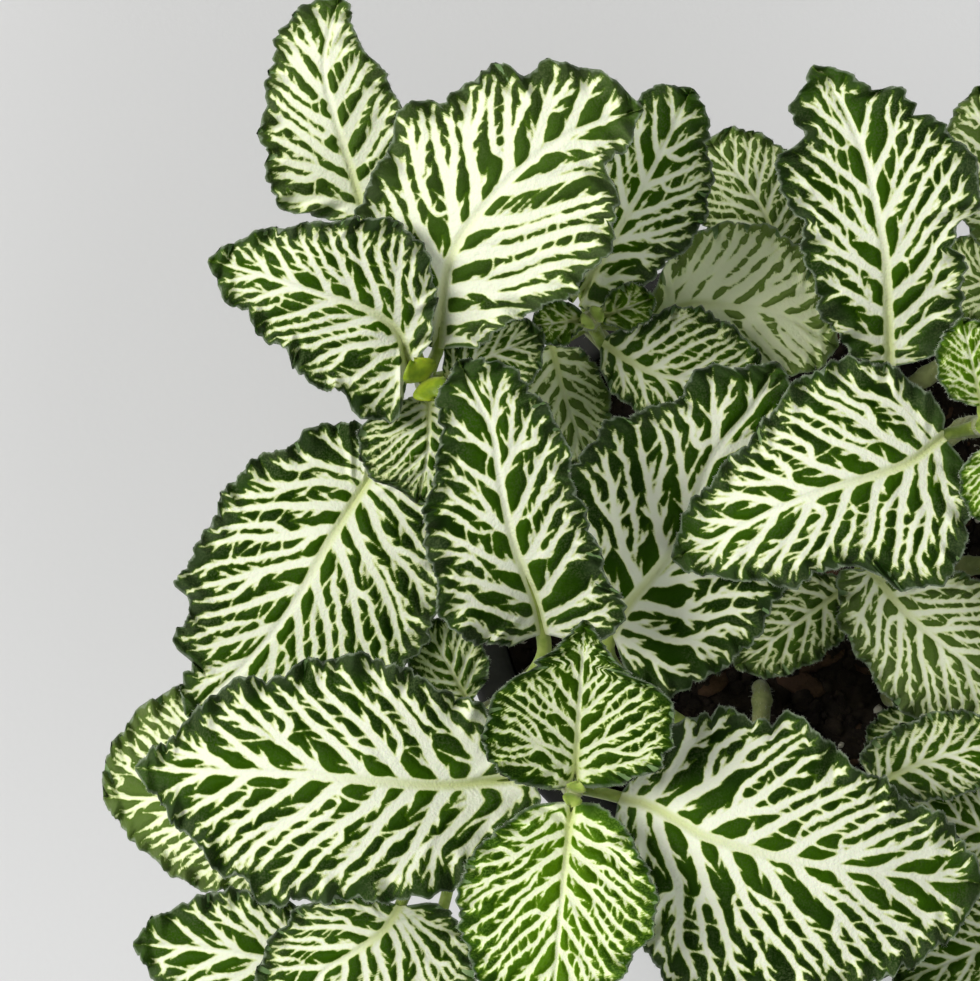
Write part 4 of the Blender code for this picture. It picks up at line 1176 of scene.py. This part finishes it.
# Larger notches of a margin: side, place along it, depth and width in plan units.
NOTCHES = {
    "b1": ((1, 0.72, 11.0, 8.0), (1, 0.59, -9.0, 12.0), (1, 0.30, 7.0, 6.0), (-1, 0.70, 10.0, 8.0), (-1, 0.57, -8.0, 12.0),
           (-1, 0.36, 8.0, 6.0), (-1, 0.86, 3.0, 5.0)),
    "b2": ((1, 0.30, 4.0, 6.0), (-1, 0.25, 5.0, 6.0), (-1, 0.62, 6.0, 6.0), (1, 0.62, 5.0, 6.0), (1, 0.55, -7.0, 38.0)),
    "f1": ((1, 0.50, 6.0, 7.0), (-1, 0.34, 6.0, 7.0), (-1, 0.72, 6.0, 7.0)),
    "b4": ((-1, 0.24, -9.0, 45.0), (-1, 0.52, 8.0, 8.0), (-1, 0.78, 9.0, 8.0), (1, 0.40, 5.0, 7.0)),
}
# How far the lobes reach back past the foot, in plan units.
FOOT = {"a2": 5.0, "a3": 7.0, "b1": 12.0, "b2": 10.0, "b3": 34.0, "d1": 6.0, "d2": 6.0, "d3": 17.0}
# How widely the veins of a leaf are spaced.
SPREAD = {"b1": 1.22, "b2": 1.12, "e1": 1.22, "c1": 1.12, "a3": 1.05}
# How far a margin draws in, where two blades lie close, in plan units.
DRAWN_IN = {"k1": 7.0, "k3": 7.0}
YOUNG = ("b1", "b2", "d1", "d2", "g2", "g3")
UNSEEN = ("h1", "h2", "h3", "h4", "k1", "k2", "k3", "k4", "j3", "j4", "i3", "i4")
THICK = 0.42


def settled_z(key, done, S, A, bl):
    """Height of the blade's upper face at (S, A): the CAD's arch, roll, fold and settling, made smooth."""
    zb, zt, arch, roll, fold = LEAVES[key][:5]
    grid, npet, _ = done[key]
    lift = grid[npet:, :, 2] - blade_grid(LEAVES[key])[:, :, 2]
    s1, a1 = S[:, 0], A[0]
    along = hermite(s1, ROWS, lift)
    lifts = hermite(a1, ACROSS, along.T).T
    xy = bl.point(S, A)
    m = bl.at(bl.m, S)
    y = np.sqrt(((xy - m) ** 2).sum(2)) / PLAN
    soft = np.sqrt(y * y + 2.4**2) - 2.4
    z = zb + (zt - zb) * S + arch * 4 * S * (1 - S) + roll * y * np.sign(A) + fold * soft
    return z + lifts


def make_blade(key, done, build):
    """Adds the blade of a leaf to build and gives the line that its midrib takes."""
    leaf = LEAVES[key]
    rng = np.random.default_rng(1000 + sum(ord(c) * (i * 7 + 1) for i, c in enumerate(key)))
    bl = Blade(leaf)
    length = np.hypot(*np.diff(bl.m, axis=0).T).sum()
    width = np.hypot(*(bl.l - bl.m).T).max() + np.hypot(*(bl.r - bl.m).T).max()
    gap = 3.2 if key in UNSEEN else 1.3
    nr = 4 * int(round(length / gap / 4)) + 1
    na = 8 * int(round(width * 0.92 / gap / 8)) + 1
    s1, a1 = np.linspace(0, 1, nr), np.linspace(-1, 1, na)
    S, A = np.meshgrid(s1, a1, indexing="ij")
    tone, white, haze = LOOK.get(key, (1.0, 1.0, 0.0))
    young = key in YOUNG
    unit = float(np.clip((length / 330) ** 0.75, 0.42, 1.08))
    vein, rim, heavy, dmid, run, XY = pattern(bl, S, A, rng, unit=unit * (0.88 if young else 1.0) * SPREAD.get(key, 1.0), white=white * (0.90 if young else 1.0))
    # the margin: small rounded teeth on slow waves
    out = np.where((A >= 0)[..., None], bl.at(bl.l, S) - bl.at(bl.m, S), bl.at(bl.r, S) - bl.at(bl.m, S))
    out /= np.sqrt((out**2).sum(2))[..., None] + 1e-9
    wave = np.zeros_like(S)
    ruffle = np.zeros_like(S)
    for side, edge in ((1, bl.l), (-1, bl.r)):
        arc = np.concatenate([[0], np.cumsum(np.hypot(*np.diff(edge, axis=0).T))])
        t = np.interp(s1, np.linspace(0, 1, bl.n), arc)
        warp = t + 5 * unit * np.sin(t / (31 * unit) + rng.uniform(0, 6)) + 3 * unit * np.sin(t / (13 * unit) + rng.uniform(0, 6))
        tooth = rng.uniform(15, 19) * unit
        ph = rng.uniform(0, 6, 4)
        strong = 1.0 + 0.55 * np.sin(t / (29 * unit) + ph[0]) * np.sin(t / (17 * unit) + ph[1])
        c = 4.6 * unit * strong * (np.abs(np.sin(math.pi * warp / tooth)) ** 0.75 - 0.62)
        c += 1.4 * unit * (np.abs(np.sin(math.pi * warp / (tooth * 0.41) + 1.0)) - 0.6)
        c += 3.0 * unit * np.sin(2 * math.pi * warp / (57 * unit) + ph[2]) + 0.8 * unit * np.sin(t / (3.1 * unit) + ph[3])
        nicks = [(s0, d, w) for sd, s0, d, w in NOTCHES.get(key, ()) if sd == side]
        nicks += [(rng.uniform(0.12, 0.9), rng.uniform(1.5, 4.2) * unit, rng.uniform(3.5, 6.0) * unit) for _ in range(3)]
        for s0, d, w in nicks:
            c -= d * np.exp(-(((t - s0 * arc[-1]) / w) ** 2))
        c *= smooth(s1, 0.02, 0.10) * smooth(1 - s1, 0.0, 0.05) * (0.35 if key in UNSEEN else 1.0)
        c -= DRAWN_IN.get(key, 0.0) * smooth(s1, 0.02, 0.10) * smooth(1 - s1, 0.0, 0.05)
        lam = rng.uniform(36, 48) * unit
        r_ = np.sin(2 * math.pi * warp / lam + rng.uniform(0, 6)) + 0.5 * np.sin(2 * math.pi * warp / (lam * 0.57) + rng.uniform(0, 6))
        r_ *= smooth(s1, 0.03, 0.16) * (0.35 if key in UNSEEN else 1.0)
        here = (A > 0) if side > 0 else (A < 0)
        wave = np.where(here, c[:, None], wave)
        ruffle = np.where(here, r_[:, None], ruffle)
    near = smooth(1 - rim / (30.0 if key in NOTCHES else 20 * unit), 0, 1)
    XY2 = XY + out * (wave * near)[..., None]
    if key in FOOT:
        back = bl.m[0] - bl.m[24]
        back = back / np.hypot(*back)
        XY2 = XY2 + back * (FOOT[key] * smooth(1 - S / 0.22, 0, 1) * smooth(np.abs(A), 0.06, 0.45))[..., None]
    z = settled_z(key, done, S, A, bl)
    z0 = z.copy()
    z = z + 1.20 * ruffle * smooth(1 - rim / (34 * unit), 0, 1) ** 1.4
    # green cells swell between the veins, and the big veins lie sunk
    z = z + 0.26 * smooth(-vein, -0.5, 5.0 * unit) - 0.26 * smooth(heavy, -9 * unit, 1.0)
    z = z - 0.25 * smooth(1 - dmid / (7 * unit), 0, 1)
    ph = rng.uniform(0, 6, 4)
    u_, v_ = XY[..., 0] / 60, XY[..., 1] / 60
    z = z + 0.16 * np.sin(u_ * 2.3 + v_ * 1.1 + ph[0]) + 0.12 * np.sin(v_ * 3.1 - u_ * 1.3 + ph[1])
    k = (EYE_H - z) / EYE_D / PLAN
    top = np.stack([EYE_X + (XY2[..., 0] - 490.0) * k, EYE_Y - (XY2[..., 1] - 490.5) * k, z], -1)
    lo, hi = XY.reshape(-1, 2).min(0), XY.reshape(-1, 2).max(0)
    uv = (XY - lo) / (hi - lo).max()
    uv = uv * 0.78 + [0.0, 0.22]
    base = build.add(top.reshape(-1, 3), grid_faces(nr, na, flip=True), 0, uv.reshape(-1, 2),
                     vein=vein.ravel(), rim=rim.ravel(), mid=dmid.ravel(), run=run.ravel(), tone=tone, haze=haze)
    # underside: every fourth point, sewn to the rim
    q = 4
    low = top[::q, ::q].copy()
    sm = z0[::q, ::q]
    low[..., 2] = np.minimum(low[..., 2], sm + 0.1) - THICK - 0.25 * smooth(1 - dmid[::q, ::q] / 30, 0, 1)
    br, bc = low.shape[:2]
    edge_q = np.zeros((br, bc), bool)
    edge_q[0], edge_q[-1], edge_q[:, 0], edge_q[:, -1] = True, True, True, True
    low[..., 2] = np.where(edge_q, top[::q, ::q, 2] - THICK, low[..., 2])
    uvl = (XY[::q, ::q] - lo) / (hi - lo).max() * 0.2
    b2 = build.add(low.reshape(-1, 3), grid_faces(br, bc), 1, uvl.reshape(-1, 2), vein=vein[::q, ::q].ravel(),
                   rim=rim[::q, ::q].ravel(), mid=dmid[::q, ::q].ravel(), run=run[::q, ::q].ravel(), tone=tone)
    faces = []
    T = lambda i, j: base + i * na + j
    B = lambda i, j: b2 + i * bc + j
    for j in range(bc - 1):
        faces.append(tuple([T(0, j * q + m) for m in range(q + 1)]) + (B(0, j + 1), B(0, j)))
        faces.append(tuple([T(nr - 1, (j + 1) * q - m) for m in range(q + 1)]) + (B(br - 1, j), B(br - 1, j + 1)))
    for i in range(br - 1):
        faces.append(tuple([T((i + 1) * q - m, 0) for m in range(q + 1)]) + (B(i, 0), B(i + 1, 0)))
        faces.append(tuple([T(i * q + m, na - 1) for m in range(q + 1)]) + (B(i + 1, bc - 1), B(i, bc - 1)))
    build.loops.append(np.array([v for f in faces for v in f]))
    build.sizes.append(np.array([len(f) for f in faces]))
    build.mats.append(np.full(len(faces), 0))
    if key not in UNSEEN:
        for edge, inner in ((top[:, 0], top[:, 2]), (top[:, -1], top[:, -3])):
            margin_hairs(build, edge, inner, rng)
    return top[:, na // 2], (2 * (nr - 1) * (na - 1))


def margin_hairs(build, edge, inner, rng):
    """Short soft hairs that stand out from a margin."""
    step = np.sqrt((np.diff(edge, axis=0) ** 2).sum(1))
    run = np.concatenate([[0], np.cumsum(step)])
    n = int(run[-1] / (0.22))
    at = np.sort(rng.uniform(0.02, 0.995, n)) * run[-1]
    pick = lambda table: np.stack([np.interp(at, run, table[:, k]) for k in range(3)], 1)
    p, t = pick(edge), pick(np.gradient(edge, axis=0))
    t /= np.sqrt((t**2).sum(1))[:, None] + 1e-9
    o = p - pick(inner)
    o -= (o * t).sum(1)[:, None] * t
    o[:, 2] *= 0.3
    o /= np.sqrt((o**2).sum(1))[:, None] + 1e-9
    way = o + t * rng.normal(0, 0.38, n)[:, None] + np.array([0, 0, 1.0]) * rng.normal(0.12, 0.30, n)[:, None]
    way /= np.sqrt((way**2).sum(1))[:, None]
    root = p - o * 0.12 - np.array([0, 0, 1.0]) * rng.uniform(0.03, 0.30, n)[:, None]
    far = root + way * (rng.uniform(0.14, 0.44, n) + 0.10)[:, None]
    w = 0.024
    up = np.cross(way, t)
    up /= np.sqrt((up**2).sum(1))[:, None] + 1e-9
    q = np.stack([root + t * w, root - 0.5 * w * t + up * w, root - 0.5 * w * t - up * w, far], 1).reshape(-1, 3)
    k = 4 * np.arange(n)[:, None]
    f = np.concatenate([k + np.array([a]) for a in ((0, 1, 3), (1, 2, 3), (2, 0, 3), (0, 2, 1))])
    build.add(q, f, 3, vein=0.0, rim=0.0, mid=30.0, run=0.5, tone=1.0)


def make_leaf_piece(key, done, mats):
    """A leaf: blade, round stalk and the keel that runs on under the blade."""
    build = Builder("vein", "rim", "mid", "run", "tone", "haze")
    ridge, tris = make_blade(key, done, build)
    grid, npet, _ = done[key]
    stalk = [p - [0, 0, 1.05] for p in grid[:npet].mean(1)]
    n = len(ridge)
    under = [ridge[int(f * (n - 1))] - [0, 0, d] for f, d in ((0.0, 1.0), (0.10, 0.95), (0.22, 0.86), (0.36, 0.76), (0.52, 0.66), (0.7, 0.55))]
    (u, v, z), _r = STEMS[key[0]]
    heart = plan(u, v, z)
    first = stalk[0]
    inward = np.array([heart[0] - first[0], heart[1] - first[1], 0.0])
    d = np.hypot(*inward[:2])
    stalk = [first + inward / d * min(1.1, d)] + stalk
    path = space_curve(stalk + under, 46)
    run = np.concatenate([[0], np.cumsum(np.sqrt((np.diff(path, axis=0) ** 2).sum(1)))])
    joint = run[np.argmin(((path - under[0]) ** 2).sum(1))]
    big = 1.05 if key in ("c1", "e1") else 0.60 if key in YOUNG else 0.88
    r = np.where(run < joint, big, np.maximum(0.22, big * (1 - (run - joint) / (run[-1] - joint + 1e-9)) ** 0.8))
    r = r * (1 + 0.18 * np.exp(-run / 1.6))
    pts, faces = closed_tube(path, r, 12)
    build.add(pts, faces, 2, vein=3.0, rim=30.0, mid=0.0, run=0.0, tone=1.0)
    obj = build.finish("blade_" + key, mats, uv=False)
    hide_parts("leaf_" + key)
    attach(obj, "root")
    return obj, tris


# ---- stems ----
def make_stem_piece(key, mats, rng):
    """A stem with swollen joints, short hairs and a bud of two folded leaflets at its tip."""
    build = Builder()
    ctrl = stem_path(key, 8)
    ctrl[0, 2] -= 2.0
    path = space_curve(ctrl, 90)
    run = np.concatenate([[0], np.cumsum(np.sqrt((np.diff(path, axis=0) ** 2).sum(1)))])
    total = run[-1]
    r = np.full(len(path), STEM_R * 0.93)
    for k in range(1, 12):
        at = total - 2.5 - 9.5 * k
        if at > 0:
            r += 0.30 * np.exp(-(((run - at) / 1.1) ** 2))
    r *= 1 - 0.30 * smooth(run, total - 4, total)
    pts, faces = closed_tube(path, r, 16)
    build.add(pts, faces, 0)
    tip, size = path[-1], 4.3 if key == "a" else 2.3
    turn = rng.uniform(0, math.pi)
    for side in (0, 1):
        a = turn + side * math.pi
        w = np.array([math.cos(a), math.sin(a), 0])
        h = np.array([-math.sin(a), math.cos(a), 0])
        rows, cols = 9, 7
        f = np.linspace(0, 1, rows)[:, None]
        c = np.linspace(-1, 1, cols)[None]
        half = 0.62 * size * np.sin(math.pi * np.clip(f, 0.02, 0.985)) ** 0.8
        out = 0.25 + size * (0.30 * f + 0.45 * f**2)
        up = size * (0.75 * np.sin(f * math.pi * 0.55))
        g = (tip + w * (out - 0.35 * size * (1 - c**2) * 0.3)[..., None] + h * (half * c)[..., None]
             + np.array([0, 0, 1.0]) * (up + 0.25 * size * c**2 * f - 0.4)[..., None])
        lower = g - np.array([0, 0, 0.28]) - w * 0.12
        p = np.vstack([g.reshape(-1, 3), lower.reshape(-1, 3)])
        n = rows * cols
        fc = [tuple(x) for x in grid_faces(rows, cols)] + [tuple(x + n) for x in grid_faces(rows, cols, flip=True)]
        rim = list(range(cols)) + [i * cols + cols - 1 for i in range(1, rows)]
        rim += [(rows - 1) * cols + j for j in range(cols - 2, -1, -1)] + [i * cols for i in range(rows - 2, 0, -1)]
        fc += [(y, x, x + n, y + n) for x, y in zip(rim, rim[1:] + rim[:1])]
        build.add(p, fc, 1)
    # hairs
    m = 260
    i = rng.integers(8, len(path) - 2, m)
    t = np.gradient(path, axis=0)
    t /= np.sqrt((t**2).sum(1))[:, None]
    for q in i:
        v = rng.normal(size=3)
        v -= (v @ t[q]) * t[q]
        v /= np.linalg.norm(v)
        a = path[q] + v * r[q] * 0.9
        b = a + v * rng.uniform(0.5, 1.0) + np.array([0, 0, rng.uniform(-0.1, 0.25)])
        s1 = np.cross(v, t[q]) * 0.028
        s2 = t[q] * 0.028
        build.add([a + s1, a - 0.5 * s1 + s2, a - 0.5 * s1 - s2, b], [(0, 1, 3), (1, 2, 3), (2, 0, 3), (0, 2, 1)], 2)
    obj = build.finish("shoot_" + key, mats)
    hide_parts("stem_" + key)
    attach(obj, "root")
    return obj


# ---- soil ----
def bumps(x, y, rng, waves):
    z = np.zeros_like(x)
    for lam, amp in waves:
        for _ in range(5):
            a, p = rng.uniform(0, 2 * math.pi, 2)
            z = z + amp * np.sin((x * math.cos(a) + y * math.sin(a)) * 2 * math.pi / (lam * rng.uniform(0.7, 1.4)) + p)
    return z


def inner_radius(z):
    neck = POT_R_FOOT + (POT_R_NECK - POT_R_FOOT) * z / (POT_H - BAND_H)
    return min(neck, POT_R_NECK) - WALL


def stone(rng, size, flat=1.0, stretch=1.0):
    """A rough lump: points on a sphere pushed about, each lump its own."""
    rows, cols = 5, 8
    th = np.linspace(0.35, math.pi - 0.35, rows)[:, None]
    ph = np.arange(cols)[None] * 2 * math.pi / cols
    p = np.stack(np.broadcast_arrays(np.sin(th) * np.cos(ph), np.sin(th) * np.sin(ph), np.cos(th)), -1).reshape(-1, 3)
    p = np.vstack([p, [0, 0, 1.0], [0, 0, -1.0]])
    p *= rng.uniform(0.72, 1.22, len(p))[:, None]
    p *= np.array([stretch, 1.0, flat]) * size
    a, b = rng.uniform(0, 2 * math.pi), rng.uniform(-0.5, 0.5)
    ca, sa, cb, sb = math.cos(a), math.sin(a), math.cos(b), math.sin(b)
    p = p @ np.array([[1, 0, 0], [0, cb, -sb], [0, sb, cb]]).T @ np.array([[ca, -sa, 0], [sa, ca, 0], [0, 0, 1]]).T
    n = rows * cols
    f = [tuple(x) for x in grid_faces(rows, cols, wrap=True)]
    f += [(n, (j + 1) % cols, j) for j in range(cols)]
    f += [(n + 1, (rows - 1) * cols + j, (rows - 1) * cols + (j + 1) % cols) for j in range(cols)]
    return p, [tuple(int(v) for v in x[::-1]) for x in f]


def make_soil_piece(mats):
    rng = np.random.default_rng(77)
    top = SOIL_Z
    r1 = inner_radius(top) - GAP
    rings, sides = ((110, 300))
    r = np.linspace(0, 1, rings)[1:, None] * r1
    a = np.arange(sides)[None] * 2 * math.pi / sides
    x, y = r * np.cos(a), r * np.sin(a)
    z = np.interp(r / r1, [0, 0.45, 0.8, 1.0], [top, top, top - 0.7, top - 2.2]) - 0.5 + 0 * a
    rs = np.random.default_rng(5)
    rough = bumps(x, y, rs, ((19, 0.16), (7, 0.13), (3.2, 0.11), (1.6, 0.07)))
    z = z + rough * smooth(r1 - r, 0.0, 2.0)
    build = Builder()
    pts = np.vstack([[[0, 0, z[0].mean()]], np.stack([x, y, z], -1).reshape(-1, 3)])
    f = [tuple(t + 1) for t in grid_faces(rings - 1, sides, wrap=True)]
    f += [(0, 1 + j, 1 + (j + 1) % sides) for j in range(sides)]
    nv = len(pts)
    side_z = [POT_H - BAND_H, 45.0, FLOOR_T + GAP + 1.5, FLOOR_T + GAP]
    last = 1 + (rings - 2) * sides
    more = []
    for zz in side_z:
        rr = inner_radius(max(zz, FLOOR_T + 1.5)) - GAP - (1.2 if zz == side_z[-1] else 0)
        more.append(np.stack([rr * np.cos(a[0]), rr * np.sin(a[0]), np.full(sides, zz)], -1))
    pts = np.vstack([pts, *more, [[0, 0, side_z[-1]]]])
    j = np.arange(sides)
    k = (j + 1) % sides
    prev = last
    for m in range(len(side_z)):
        cur = nv + m * sides
        f += [tuple(t) for t in np.stack([prev + j, cur + j, cur + k, prev + k], 1)]
        prev = cur
    f += [(len(pts) - 1, prev + (q + 1) % sides, prev + q) for q in range(sides)]
    build.add(pts, [tuple(int(v) for v in t) for t in f], 0)
    soil = build.finish("soil_body", [mats[0]])
    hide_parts("soil")
    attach(soil, "root")
    # crumbs, bark and pale grit lie on it
    stems = np.array([STEMS[k][1] for k in STEMS], float)
    made = []
    for name, mat, count, size, flat, stretch in (("soil_crumbs", mats[1], 1700, (0.45, 1.5), 0.8, 1.2),
                                                  ("soil_bark", mats[2], 130, (1.0, 2.4), 0.35, 2.0),
                                                  ("soil_grit", mats[3], 70, (0.4, 0.95), 0.9, 1.1)):
        b = Builder()
        n = 0
        while n < count:
            rr, aa = (r1 - 2.2) * math.sqrt(rng.uniform()), rng.uniform(0, 2 * math.pi)
            px, py = rr * math.cos(aa), rr * math.sin(aa)
            s = size[0] + (size[1] - size[0]) * rng.uniform() ** 2.2
            if np.hypot(*(stems - [px, py]).T).min() < STEM_R + s * stretch * 0.6:
                continue
            pz = np.interp(rr / r1, [0, 0.45, 0.8, 1.0], [top, top, top - 0.7, top - 2.2]) - 0.5
            p, fc = stone(rng, s, flat, stretch)
            b.add(p + [px, py, pz + s * flat * 0.35], fc, 0)
            n += 1
        o = b.finish(name, [mat], smooth_faces=name != "soil_crumbs")
        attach(o, "root")
        made.append(o)
    return made


# ---- pot ----
def make_pot_piece(mat):
    """The same pot, turned finely: softened corners, faint turning rings and a hand-made wobble."""
    rz = [(0, 0.25), (POT_R_FOOT - 3.2, 0.25), (POT_R_FOOT - 2.4, 0.0), (POT_R_FOOT - 1.0, 0.0), (POT_R_FOOT - 0.25, 0.35), (POT_R_FOOT, 1.2)]
    neck = POT_H - BAND_H
    for z in np.linspace(3, neck - 2.5, 46):
        rz.append((POT_R_FOOT + (POT_R_NECK - POT_R_FOOT) * z / neck, z))
    rz += [(POT_R_NECK - 0.25, neck - 1.0), (POT_R_NECK + 0.25, neck - 0.2), (POT_R_NECK + 1.0, neck + 0.25), (POT_R - 0.9, neck + 0.45),
           (POT_R - 0.25, neck + 0.9), (POT_R, neck + 1.8)]
    for z in np.linspace(neck + 2.8, POT_H - 2.4, 12):
        rz.append((POT_R, z))
    rz += [(POT_R, POT_H - 1.6), (POT_R - 0.3, POT_H - 0.7), (POT_R - 1.0, POT_H - 0.15), (POT_R - 1.9, POT_H)]
    ri = inner_radius(POT_H)
    rz += [(ri + 1.9, POT_H), (ri + 0.9, POT_H - 0.2), (ri + 0.25, POT_H - 0.8), (ri, POT_H - 1.7)]
    for z in np.linspace(POT_H - 3, neck, 8):
        rz.append((inner_radius(z), z))
    for z in np.linspace(neck - 6, FLOOR_T + 1.5, 10):
        rz.append((inner_radius(z), z))
    rz += [(inner_radius(FLOOR_T) - 1.5, FLOOR_T), (0, FLOOR_T)]
    prof = np.array(rz)
    sides = 220
    a = np.arange(sides) * 2 * math.pi / sides
    rng = np.random.default_rng(11)
    ph = rng.uniform(0, 6, 6)
    body = prof[1:-1]
    n = len(body)
    r = body[:, 0][:, None] * np.ones(sides)[None]
    z = body[:, 1][:, None] * np.ones(sides)[None]
    outside = np.arange(n) < 74
    ring = 0.045 * np.sin(body[:, 1] * 2.1 + ph[0]) + 0.035 * np.sin(body[:, 1] * 3.7 + ph[1])
    ring = np.where(outside & (body[:, 1] > 2) & (body[:, 1] < POT_H - 2.5), ring, 0)
    r = r - np.abs(ring)[:, None] - 0.10 * (1 + np.sin(2 * a + ph[2]))[None] * smooth(z, 2, 20)
    pts = np.vstack([np.stack([r * np.cos(a), r * np.sin(a), z], -1).reshape(-1, 3), [[0, 0, prof[0, 1]]], [[0, 0, prof[-1, 1]]]])
    f = [tuple(t) for t in grid_faces(n, sides, wrap=True)]
    m = n * sides
    f += [(m, (j + 1) % sides, j) for j in range(sides)]
    f += [(m + 1, (n - 1) * sides + j, (n - 1) * sides + (j + 1) % sides) for j in range(sides)]
    build = Builder()
    build.add(pts, f, 0)
    obj = build.finish("clay_pot", [mat])
    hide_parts("pot")
    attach(obj, "root")
    return obj


# ---- everything ----
import time
T0 = time.time()
DONE, LIFTS = settle()
LEAF = leaf_material("leaf_mature")
NEW = leaf_material("leaf_fresh", young=True)
UNDER = under_material()
STALK = stalk_material("leaf_stalk")
STEM = stalk_material("stem_skin", deep=True)
HAIR = hair_material()
total = 0
for key in LEAVES:
    obj, tris = make_leaf_piece(key, DONE, [NEW if key in YOUNG else LEAF, UNDER, STALK, HAIR])
    total += tris
print("leaves", round(time.time() - T0, 1), "s", total, "triangles")
BUD = stalk_material("bud")
FRESH = stalk_material("fresh_bud", bright=True)
for i, key in enumerate(STEMS):
    make_stem_piece(key, [STEM, FRESH if key == "a" else BUD, HAIR], np.random.default_rng(300 + i))
make_soil_piece([
    soil_material("potting_soil", (0.009, 0.006, 0.004), (0.021, 0.014, 0.009), (0.050, 0.034, 0.022)),
    soil_material("soil_crumb", (0.008, 0.005, 0.0035), (0.025, 0.017, 0.011), (0.060, 0.042, 0.028)),
    soil_material("bark_bit", (0.040, 0.021, 0.012), (0.085, 0.046, 0.025), (0.15, 0.090, 0.050)),
    soil_material("pale_grit", (0.42, 0.38, 0.31), (0.62, 0.58, 0.50), (0.75, 0.72, 0.66)),
])
make_pot_piece(clay_material())

# floor: a wide pale sheet of paper, fine enough to be shaded softly
fl = Builder()
g = np.linspace(-2600, 2600, 41)
gx, gy = np.meshgrid(g, g, indexing="ij")
fl.add(np.stack([gx, gy, np.full_like(gx, -0.05)], -1).reshape(-1, 3), grid_faces(41, 41, flip=False), 0)
floor = fl.finish("floor", [floor_material()])

# camera: straight down, as the photograph was taken
cam = bpy.data.cameras.new("camera")
cam_obj = bpy.data.objects.new("camera", cam)
bpy.context.collection.objects.link(cam_obj)
cam.sensor_width = 36.0
cam.lens = PLAN * EYE_D / 981.0 * 36.0
cam_obj.location = (EYE_X * MM, EYE_Y * MM, EYE_H * MM)
cam_obj.rotation_euler = (0, 0, 0)
cam.clip_start, cam.clip_end = 0.01, 20
bpy.context.scene.camera = cam_obj


def area(name, at, to, size, power, colour=(1, 1, 1)):
    light = bpy.data.lights.new(name, "AREA")
    light.shape = "DISK"
    light.size = size
    light.energy = power
    light.color = colour
    obj = bpy.data.objects.new(name, light)
    from mathutils import Vector
    obj.location = at
    obj.rotation_mode = "QUATERNION"
    obj.rotation_quaternion = (Vector(to) - Vector(at)).to_track_quat("-Z", "Y")
    bpy.context.collection.objects.link(obj)
    return obj


area("window", (-1.55, 0.42, 1.60), (0, 0, 0.1), 1.22, 47.0, (1.0, 0.99, 0.97))
area("fill", (0.55, -0.55, 1.1), (0, 0, 0.1), 1.0, 4.6, (0.97, 0.98, 1.0))
world = bpy.data.worlds.new("world")
bpy.context.scene.world = world
world.use_nodes = True
world.node_tree.nodes["Background"].inputs["Color"].default_value = (0.96, 0.98, 1.0, 1)
world.node_tree.nodes["Background"].inputs["Strength"].default_value = 0.27
bpy.context.scene.view_settings.view_transform = "Standard"
bpy.context.scene.view_settings.look = "None"

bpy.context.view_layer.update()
print("made in", round(time.time() - T0, 1), "s")
